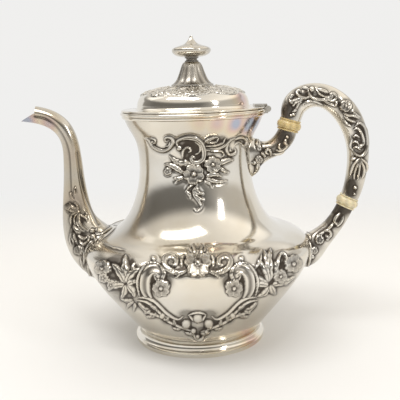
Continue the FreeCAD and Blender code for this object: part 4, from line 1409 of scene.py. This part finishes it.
def build_foot():
    step = (FOOT_RADIUS - FOOT_STEP, FOOT_BAND + FOOT_STEP / 2)
    waist = (FOOT_WAIST_RADIUS, FOOT_HEIGHT)
    seat = (FOOT_SEAT_RADIUS, FOOT_HEIGHT - FOOT_WALL)
    tread = (FOOT_TREAD_RADIUS, FOOT_WALL)
    outline = joined(
        [(FOOT_TREAD_RADIUS, 0), (FOOT_RADIUS, 0), (FOOT_RADIUS, FOOT_BAND)],
        curve(step, LEVEL_IN, FOOT_COVE_HOLD, waist, UPRIGHT, FOOT_BAND, CURVE_STEPS // 2),
        (FOOT_SEAT_RADIUS, FOOT_HEIGHT),
        curve(seat, DOWNRIGHT, FOOT_BAND, tread, LEVEL_OUT, FOOT_WALL, CURVE_STEPS // 4),
    )
    stands_for(turned("foot", outline, dulled(RING_PATINA)), "pot", "silver", "foot_ring")


def hinge_gap(points, shade):
    """Draws the ring in at the hinge."""
    radius = np.hypot(points[..., 0], points[..., 1])
    near = (points[..., 0] > 0) & (np.abs(points[..., 1]) < HINGE_NOTCH_HALF)
    near &= radius > body_radius(RIM_HEIGHT) - BODY_WALL / 2
    wanted = np.minimum(radius, body_radius(points[..., 2]) - BODY_WALL / 4)
    points[..., :2] *= np.where(near, wanted / radius, 1.0)[..., None]
    return points, shade + RING_PATINA


def build_moulding():
    bottom = RIM_HEIGHT - MOULDING_HEIGHT
    middle = RIM_HEIGHT - MOULDING_HEIGHT / 2
    groove = (body_radius(middle) + MOULDING_GROOVE_REACH, middle)
    top = (RIM_RADIUS + MOULDING_TOP_REACH, RIM_HEIGHT)
    lower_bead = (body_radius(middle) + LOWER_BEAD_REACH, (bottom + middle) / 2)
    upper_bead = (RIM_RADIUS + MOULDING_REACH, (middle + RIM_HEIGHT) / 2)
    back = [(RIM_RADIUS - BODY_WALL / 2, RIM_HEIGHT), (body_radius(bottom) - BODY_WALL / 2, bottom)]
    lower = arc((body_radius(bottom), bottom), lower_bead, groove)
    outline = joined(lower, arc(groove, upper_bead, top), back)
    stands_for(turned("mouth_moulding", outline, hinge_gap), "pot", "silver", "rim_moulding")


# Spout and handle
def spout_grid(wall, rows, columns):
    """Grid over the spout, each line running from the body's wall to the slanting mouth."""
    stations = [(x, z, deep - wall, wide - wall) for x, z, deep, wide in SPOUT_STATIONS]
    ends = (heading(SPOUT_ROOT_SLOPE), heading(SPOUT_TIP_SLOPE))
    dense = tube_grid(stations, *ends, SPOUT_PATH_STEPS, columns)
    mouth = heading(SPOUT_MOUTH_SLOPE + UPRIGHT)
    past = (dense[..., 0] - SPOUT_LIP[0]) * mouth[0] + (dense[..., 2] - SPOUT_LIP[1]) * mouth[1]
    past = np.minimum(past, SPOUT_BEAK_END - dense[..., 0])
    return trimmed(dense, np.minimum(clear_of_body(dense), -past), rows)


def build_spout():
    outer = spout_grid(0.0, SPOUT_ROWS, SPOUT_COLUMNS)
    inner = spout_grid(SPOUT_WALL, SPOUT_BACK_ROWS, BACKING_COLUMNS)
    height, shade = embossed(SPOUT_PATCH, (SPOUT, SPOUT_SIDES)).read(*photo_place(outer))
    fade = np.clip(np.linspace(0, SPOUT_ROWS / SPOUT_FADE_ROWS, SPOUT_ROWS), 0, 1)
    outer = outer + grid_normals(outer) * (height * fade[:, None])[..., None]
    # Faint tarnish and painted shade darken the whole spout
    shade = SPOUT_SHADE_AND_TARNISH + (1 - SPOUT_SHADE_AND_TARNISH) * shade
    spout = shell("spout", outer, inner, shade, wrap=True)
    stands_for(spout, "pot", "silver", "spout_left_half", "spout_right_half")


def ring_place(ring):
    """Middle of an insulating ring, and its heading from socket to grip."""
    return np.array(ring[0]), heading(UPRIGHT - ring[1])


def build_handle():
    upper, upper_along = ring_place(UPPER_RING)
    lower, lower_along = ring_place(LOWER_RING)
    line = lower - upper
    beside = np.array([-line[1], line[0]])
    grip = [(*(upper + upper_along * RING_HALF), *GRIP_UPPER_END)]
    grip += [(*(upper + line * along + beside * out), *halves) for along, out, *halves in GRIP_STATIONS]
    grip.append((*(lower + lower_along * RING_HALF), *GRIP_LOWER_END))
    neck = UPPER_SOCKET_STATIONS + [(*(upper - upper_along * RING_HALF), *UPPER_SOCKET_END)]
    belly = [(*(lower - lower_along * RING_HALF), *LOWER_SOCKET_END)] + LOWER_SOCKET_STATIONS
    belly_root = heading(LOWER_SOCKET_ROOT_SLOPE)
    relief = embossed(HANDLE_PATCH, (GRIP, SOCKETS))
    for name, stations, first, last, rows, nodes in (
            ("grip", grip, upper_along, -lower_along, GRIP_ROWS, ("handle_left_half", "handle_right_half")),
            ("neck_socket", neck, heading(LEVEL_OUT), upper_along, SOCKET_ROWS, ("upper_socket",)),
            ("belly_socket", belly, -lower_along, belly_root, SOCKET_ROWS, ("lower_socket",))):
        points = tube_grid(stations, first, last, rows, HANDLE_COLUMNS)
        if name != "grip":
            points = trimmed(points, clear_of_body(points), rows)
        height, shade = relief.read(*photo_place(points))
        from_end = np.minimum(np.arange(rows), np.arange(rows)[::-1])
        height *= np.clip(from_end / HANDLE_FADE_ROWS, 0, 1)[:, None]
        points = points + grid_normals(points) * height[..., None]
        shade = GRIP_PATINA + (1 - GRIP_PATINA) * shade
        stands_for(capped(name, points, shade, [HANDLE_END_PATINA] * 2), "pot", "silver", *nodes)


def tilted(ring):
    """Shape step that sets a turned ring at its place on the handle."""
    (across, up), degrees = ring[:2]
    turn = math.radians(degrees)

    def step(points, shade):
        x = points[..., 0] * math.cos(turn) + points[..., 2] * math.sin(turn) + across
        z = points[..., 2] * math.cos(turn) - points[..., 0] * math.sin(turn) + up
        return np.stack([x, points[..., 1], z], -1), shade

    return step


def build_rings():
    finish = bpy.context.scene.coffee_pot_finish
    for name, ring, colour, node in (("upper_ring", UPPER_RING, finish.upper_ivory, "upper_insulator"),
                                     ("lower_ring", LOWER_RING, finish.lower_ivory, "lower_insulator")):
        radius, collar = ring[2:]
        flat = RING_HALF - RING_COLLAR
        crown = radius - RING_BULGE
        bulge = arc((crown, -flat), (radius, 0), (crown, flat))
        outline = joined((collar, -RING_HALF), (collar, -flat), bulge, (collar, flat), (collar, RING_HALF))
        piece = turned_solid(name, outline, tilted(ring), RING_STEPS, ivory_material(name, colour))
        stands_for(piece, "pot", "insulator", node)


# Lid and finial
def dome_line(steps):
    foot = (LID_DOME_RADIUS, LID_BOTTOM + LID_FLANGE_THICKNESS + LID_COVE)
    lean = math.degrees(math.atan2(LID_SIDE_HOLD, -LID_DOME_LEAN))
    fall = math.degrees(math.atan2(LID_TOP_FALL, -LID_TOP_HOLD))
    return curve(foot, lean, LID_SIDE_HOLD, (FINIAL_SEAT_RADIUS, LID_TOP), fall, LID_TOP_HOLD, steps)


def lid_notch(points, shade):
    """Cuts the flange straight at the hinge."""
    near = np.abs(points[..., 1]) < HINGE_NOTCH_HALF
    points[..., 0] = np.where(near, np.minimum(points[..., 0], HINGE_NOTCH_START), points[..., 0])
    return points, shade + LID_PATINA


def build_lid():
    top = LID_BOTTOM + LID_FLANGE_THICKNESS
    edge = LID_FLANGE_THICKNESS / 2
    rim = LID_FLANGE_RADIUS - edge
    dome = dome_line(DOME_STEPS)
    cove_hub = np.array([LID_DOME_RADIUS + LID_COVE, top + LID_COVE])
    cove = arc((LID_DOME_RADIUS + LID_COVE, top), cove_hub + heading(DOWN_AND_IN) * LID_COVE, dome[0])
    inner = dome - line_normals(dome) * LID_WALL
    inner = inner[inner[:, 1] < LID_TOP - LID_WALL]
    flange = arc((rim, LID_BOTTOM), (rim + edge, LID_BOTTOM + edge), (rim, top))
    hole = [(STUD_RADIUS, LID_TOP), (STUD_RADIUS, LID_TOP - LID_WALL)]
    outline = joined((inner[0, 0], LID_BOTTOM), flange, cove, dome, hole, inner[::-DOME_BACK_STEP])
    stands_for(turned("dome", outline, lid_notch, LID_STEPS), "lid", "silver", "lid_dome")
    bottom = LID_BOTTOM - BEZEL_DEPTH
    inside = BEZEL_RADIUS - BEZEL_WALL
    bezel = joined((inside, bottom), (BEZEL_RADIUS, bottom), (BEZEL_RADIUS, LID_BOTTOM), (inside, LID_BOTTOM))
    stands_for(turned("bezel", bezel), "lid", "silver", "lid_bezel")


def garland_motif(count):
    """One motif of the garland, laid on the dome on the camera's side."""
    half = math.pi * GARLAND_RADIUS / count
    scale = GARLAND_SHEET[2]
    patch = np.array([-half, GARLAND_SEAT, half, GARLAND_END]) / scale
    across = np.linspace(-half, half, GARLAND_COLUMNS)
    down = np.linspace(GARLAND_SEAT, GARLAND_END, GARLAND_ROWS)
    places = np.meshgrid(across / scale, down / scale)
    height, shade = embossed(patch, GARLAND_REGIONS, sunk=False).read(*places)
    edge = GARLAND_EDGE - GARLAND_EDGE_RISE * (1 - np.cos(math.pi * across / half)) / 2
    inside = np.clip((edge - down[:, None]) / GARLAND_EDGE_WIDTH + 0.5, 0, 1)
    lift = inside * (height + GARLAND_PROUD) - (1 - inside) * GARLAND_SINK
    dome = dome_line(GARLAND_LINE_STEPS)[::-1]
    fallen = steps_between(dome)
    line = looked_up(down, fallen, dome)
    line[:, 0] += np.minimum(down, 0.0)
    upward = looked_up(down, fallen, -line_normals(dome))
    turn = across / GARLAND_RADIUS
    around = np.stack([np.sin(turn), -np.cos(turn)], 1)
    points = carried(line, around)
    normals = carried(upward, around)
    shade = GARLAND_PATINA * shade
    return backed("garland_motif", points, normals, lift, GARLAND_BACKING, shade, BACKING_ROWS)


def round_the_axis():
    """Node tree that sets a motif round the pot's axis."""
    tree = bpy.data.node_groups.new("round_the_axis", "GeometryNodeTree")
    for name, kind in (("Motif", "Geometry"), ("Motifs", "Int"), ("Finish", "Material")):
        tree.interface.new_socket(name, in_out="INPUT", socket_type="NodeSocket" + kind)
    tree.interface.new_socket("Ring", in_out="OUTPUT", socket_type="NodeSocketGeometry")
    given = tree.nodes.new("NodeGroupInput").outputs
    points = add(tree, "GeometryNodePoints", "Points", {"Count": given["Motifs"]})
    share = maths(tree, "DIVIDE", add(tree, "GeometryNodeInputIndex", "Index"), given["Motifs"])
    about = add(tree, "ShaderNodeCombineXYZ", "Vector", {"Z": maths(tree, "MULTIPLY", share, 2 * math.pi)})
    rotation = add(tree, "FunctionNodeEulerToRotation", "Rotation", {"Euler": about})
    motifs = add(tree, "GeometryNodeInstanceOnPoints", "Instances",
                 {"Points": points, "Instance": given["Motif"], "Rotation": rotation})
    mesh = add(tree, "GeometryNodeRealizeInstances", "Geometry", {"Geometry": motifs})
    ring = add(tree, "GeometryNodeSetMaterial", "Geometry", {"Geometry": mesh, "Material": given["Finish"]})
    feed(tree.nodes.new("NodeGroupOutput"), {"Ring": ring})
    return tree


def repeated(name, motif, tree, **values):
    """Plain mesh of a motif after its node tree, with the tree's inputs given by name."""
    modifier = motif.modifiers.new(name, "NODES")
    modifier.node_group = tree
    for socket in tree.interface.items_tree:
        if socket.name in values:
            modifier[socket.identifier] = values[socket.name]
    evaluated = motif.evaluated_get(bpy.context.evaluated_depsgraph_get())
    mesh = bpy.data.meshes.new_from_object(evaluated)
    mesh.name = name
    bpy.data.objects.remove(motif)
    return put(name, mesh)


def build_garland():
    count = bpy.context.scene.coffee_pot_ornament.garland_motifs
    garland = repeated("lid_garland", garland_motif(count), round_the_axis(), Motifs=count, Finish=silver())
    stands_for(garland, "lid", "silver")


def fluted(points, shade):
    """Presses flutes into the bell, deeper towards its foot."""
    turn = np.arctan2(points[..., 1], points[..., 0])
    down = np.clip((FINIAL_BASE_TOP - FLUTE_TOP_GAP - points[..., 2]) / FLUTE_REACH, 0, 1)
    lip = np.clip((points[..., 2] - LID_TOP - FINIAL_BASE_LIP) / FLUTE_LIP_FADE, 0, 1)
    groove = np.abs(np.cos(turn * FINIAL_FLUTES / 2))**FLUTE_SHARPNESS
    depth = FLUTE_DEPTH * groove * np.sqrt(down) * lip
    points[..., :2] *= (1 - depth / np.hypot(points[..., 0], points[..., 1]))[..., None]
    return points, shade + np.clip(FINIAL_PATINA + FLUTE_PATINA * groove * down * lip, 0, 1)


def build_finial():
    bell = joined((FINIAL_BASE_RADIUS, LID_TOP), through(BELL_POINTS))
    stands_for(turned_solid("pedestal", bell, fluted), "lid", "silver", "finial_base")
    edge = FINIAL_NECK_RADIUS
    waist = (COLLAR_WAIST_RADIUS, (FINIAL_BASE_TOP + COLLAR_TOP) / 2)
    hollow = arc((edge, FINIAL_BASE_TOP + COLLAR_EDGE), waist, (edge, COLLAR_TOP - COLLAR_EDGE))
    collar = joined((edge, FINIAL_BASE_TOP), hollow, (edge, COLLAR_TOP))
    stands_for(turned_solid("collar", collar, dulled(COLLAR_PATINA)), "lid", "silver", "finial_collar")
    knob = turned_solid("knob", through(KNOB_POINTS), dulled(KNOB_PATINA))
    stands_for(knob, "lid", "silver", "finial_knob")


# Frame pieces that keep their shape
def finish_fittings():
    for name in FITTINGS:
        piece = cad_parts[name]
        layers = piece.data.attributes
        layer = layers.get("patina_and_shade") or layers.new("patina_and_shade", "FLOAT", "POINT")
        layer.data.foreach_set("value", [FITTING_PATINA] * len(piece.data.vertices))
        for slot in piece.material_slots:
            slot.material = silver()


# Stage
def build_paper(settings):
    """Sweep of paper: a floor that curves up behind the pot."""
    run = [(-PAPER_FRONT, 0.0), (PAPER_BEND_START, 0.0)]
    for turn in np.linspace(0, math.pi / 2, PAPER_BEND_STEPS)[1:]:
        run.append((PAPER_BEND_START + PAPER_BEND * math.sin(turn), PAPER_BEND * (1 - math.cos(turn))))
    run.append((PAPER_BEND_START + PAPER_BEND, PAPER_TOP))
    points = [(side * PAPER_HALF_WIDTH, y, z) for y, z in run for side in (-1, 1)]
    faces = [(2 * i, 2 * i + 1, 2 * i + 3, 2 * i + 2) for i in range(len(run) - 1)]
    mesh = bpy.data.meshes.new("paper_sweep")
    mesh.from_pydata(points, [], faces)
    mesh.polygons.foreach_set("use_smooth", [True] * len(faces))
    mesh.materials.append(paper_material(settings))
    paper = put("paper_sweep", mesh)


def build_room(settings):
    """Dim plain room round the paper, paler overhead, behind and to the right, with a pale horizon."""
    world = bpy.data.worlds.new("studio")
    bpy.context.scene.world = world
    world.use_nodes = True
    tree = world.node_tree
    place = add(tree, "ShaderNodeTexCoord", "Generated")
    up = add(tree, "ShaderNodeSeparateXYZ", "Z", {"Vector": place})
    across = up.node.outputs["X"]
    behind = up.node.outputs["Y"]
    level = remap(tree, up, WALL_TOP, CEILING_START, settings.wall_level, settings.ceiling_level, smooth=True)
    side = remap(tree, across, RIGHT_SIDE_START, RIGHT_SIDE_FULL, high=settings.side_change, smooth=True)
    back = remap(tree, behind, high=settings.back_change)
    walls = tree.nodes["Background"]
    strength = maths(tree, "ADD", level, maths(tree, "ADD", side, back))
    feed(walls, {"Color": opaque(settings.room_colour), "Strength": strength})
    horizon = add(tree, "ShaderNodeBackground", "Background", {"Color": opaque(settings.floor_colour)})
    low = remap(tree, up, HORIZON_LOW, HORIZON_HIGH, smooth=True)
    sky = walls.outputs["Background"]
    room = add(tree, "ShaderNodeMixShader", "Shader", {"Fac": low, 1: horizon, 2: sky})
    feed(tree.nodes["World Output"], {"Surface": room})


def facing(place, right, up, ahead):
    """Placement of a lamp or camera at a place in metres."""
    return Matrix.Translation(place) @ Matrix((right, up, -ahead)).transposed().to_4x4()


def build_lamps(settings):
    for name, place, size, power in (
            ("overhead_box", OVERHEAD_BOX, OVERHEAD_BOX_SIZE, settings.overhead_power),
            ("right_box", RIGHT_BOX, RIGHT_BOX_SIZE, settings.right_power),
            ("left_box", LEFT_BOX, LEFT_BOX_SIZE, settings.left_power)):
        light = bpy.data.lights.new(name, "AREA")
        light.shape = "RECTANGLE"
        light.energy = power
        light.size, light.size_y = size
        aim = unit(np.subtract(LAMP_AIM, place))
        side = unit(np.cross(aim, (0, 0, 1)))
        put(name, light).matrix_world = facing(place, side, np.cross(side, aim), aim)


def build_camera():
    camera = bpy.data.cameras.new("photo_camera")
    camera.sensor_width = SENSOR_WIDTH
    camera.lens = CAMERA_FOCAL * SENSOR_WIDTH / PICTURE_SIZE
    camera.clip_end = CAMERA_REACH
    holder = put("photo_camera", camera)
    holder.matrix_world = facing([part * MILLIMETRE for part in CAMERA_PLACE], *camera_axes())
    bpy.context.scene.camera = holder
    bpy.context.scene.view_settings.view_transform = "Standard"


def build_stage():
    settings = bpy.context.scene.coffee_pot_stage
    build_camera()
    build_paper(settings)
    build_room(settings)
    build_lamps(settings)


# Add-on
class CoffeePotBody(bpy.types.Operator):
    """Raises the belly, the neck and the floor with their embossed ornament."""
    bl_idname = "coffee_pot.body"
    bl_label = "Body"

    def execute(self, context):
        build_body()
        return {"FINISHED"}


class CoffeePotMouldings(bpy.types.Operator):
    """Turns the foot ring and the moulding round the mouth."""
    bl_idname = "coffee_pot.mouldings"
    bl_label = "Foot and Mouth Moulding"

    def execute(self, context):
        build_foot()
        build_moulding()
        return {"FINISHED"}


class CoffeePotSpout(bpy.types.Operator):
    """Bends the hollow spout with its ornament and its beak."""
    bl_idname = "coffee_pot.spout"
    bl_label = "Spout"

    def execute(self, context):
        build_spout()
        return {"FINISHED"}


class CoffeePotHandle(bpy.types.Operator):
    """Bends the grip and its two sockets with their ornament."""
    bl_idname = "coffee_pot.handle"
    bl_label = "Grip and Sockets"

    def execute(self, context):
        build_handle()
        return {"FINISHED"}


class CoffeePotRings(bpy.types.Operator):
    """Turns the two insulating rings."""
    bl_idname = "coffee_pot.rings"
    bl_label = "Insulating Rings"

    def execute(self, context):
        build_rings()
        return {"FINISHED"}


class CoffeePotLid(bpy.types.Operator):
    """Turns the domed lid and the bezel under it."""
    bl_idname = "coffee_pot.lid"
    bl_label = "Lid"

    def execute(self, context):
        build_lid()
        return {"FINISHED"}


class CoffeePotGarland(bpy.types.Operator):
    """Sets the embossed motifs round the top of the lid."""
    bl_idname = "coffee_pot.garland"
    bl_label = "Lid Garland"

    def execute(self, context):
        build_garland()
        return {"FINISHED"}


class CoffeePotFinial(bpy.types.Operator):
    """Turns the fluted pedestal, the collar and the pointed knob."""
    bl_idname = "coffee_pot.finial"
    bl_label = "Finial"

    def execute(self, context):
        build_finial()
        return {"FINISHED"}


class CoffeePotFittings(bpy.types.Operator):
    """Gives the hinge, the pins and the finial's fixings their finish."""
    bl_idname = "coffee_pot.fittings"
    bl_label = "Fittings"

    def execute(self, context):
        finish_fittings()
        return {"FINISHED"}


class CoffeePotSetStage(bpy.types.Operator):
    """Sets the camera, the paper, the room and the lamps."""
    bl_idname = "coffee_pot.stage"
    bl_label = "Stage"

    def execute(self, context):
        build_stage()
        return {"FINISHED"}


class CoffeePotPanel(bpy.types.Panel):
    """Settings and pieces of the coffee pot."""
    bl_idname = "VIEW3D_PT_coffee_pot"
    bl_label = "Coffee Pot"
    bl_space_type = "VIEW_3D"
    bl_region_type = "UI"
    bl_category = "Coffee Pot"

    def draw(self, context):
        scene = context.scene
        for settings in (scene.coffee_pot_finish, scene.coffee_pot_ornament, scene.coffee_pot_stage):
            box = self.layout.box()
            for name in type(settings).__annotations__:
                box.prop(settings, name)
        for operator in OPERATORS:
            self.layout.operator(operator.bl_idname)


OPERATORS = (CoffeePotBody, CoffeePotMouldings, CoffeePotSpout, CoffeePotHandle, CoffeePotRings, CoffeePotLid,
             CoffeePotGarland, CoffeePotFinial, CoffeePotFittings, CoffeePotSetStage)
CLASSES = (CoffeePotFinish, CoffeePotOrnament, CoffeePotStage, *OPERATORS, CoffeePotPanel)


def register():
    for part in CLASSES:
        bpy.utils.register_class(part)
    bpy.types.Scene.coffee_pot_finish = PointerProperty(type=CoffeePotFinish)
    bpy.types.Scene.coffee_pot_ornament = PointerProperty(type=CoffeePotOrnament)
    bpy.types.Scene.coffee_pot_stage = PointerProperty(type=CoffeePotStage)


def unregister():
    del bpy.types.Scene.coffee_pot_stage
    del bpy.types.Scene.coffee_pot_ornament
    del bpy.types.Scene.coffee_pot_finish
    for part in reversed(CLASSES):
        bpy.utils.unregister_class(part)


def main():
    register()
    bpy.ops.coffee_pot.body()
    bpy.ops.coffee_pot.mouldings()
    bpy.ops.coffee_pot.spout()
    bpy.ops.coffee_pot.handle()
    bpy.ops.coffee_pot.rings()
    bpy.ops.coffee_pot.lid()
    bpy.ops.coffee_pot.garland()
    bpy.ops.coffee_pot.finial()
    bpy.ops.coffee_pot.fittings()
    bpy.ops.coffee_pot.stage()


if __name__ == "__main__":
    main()
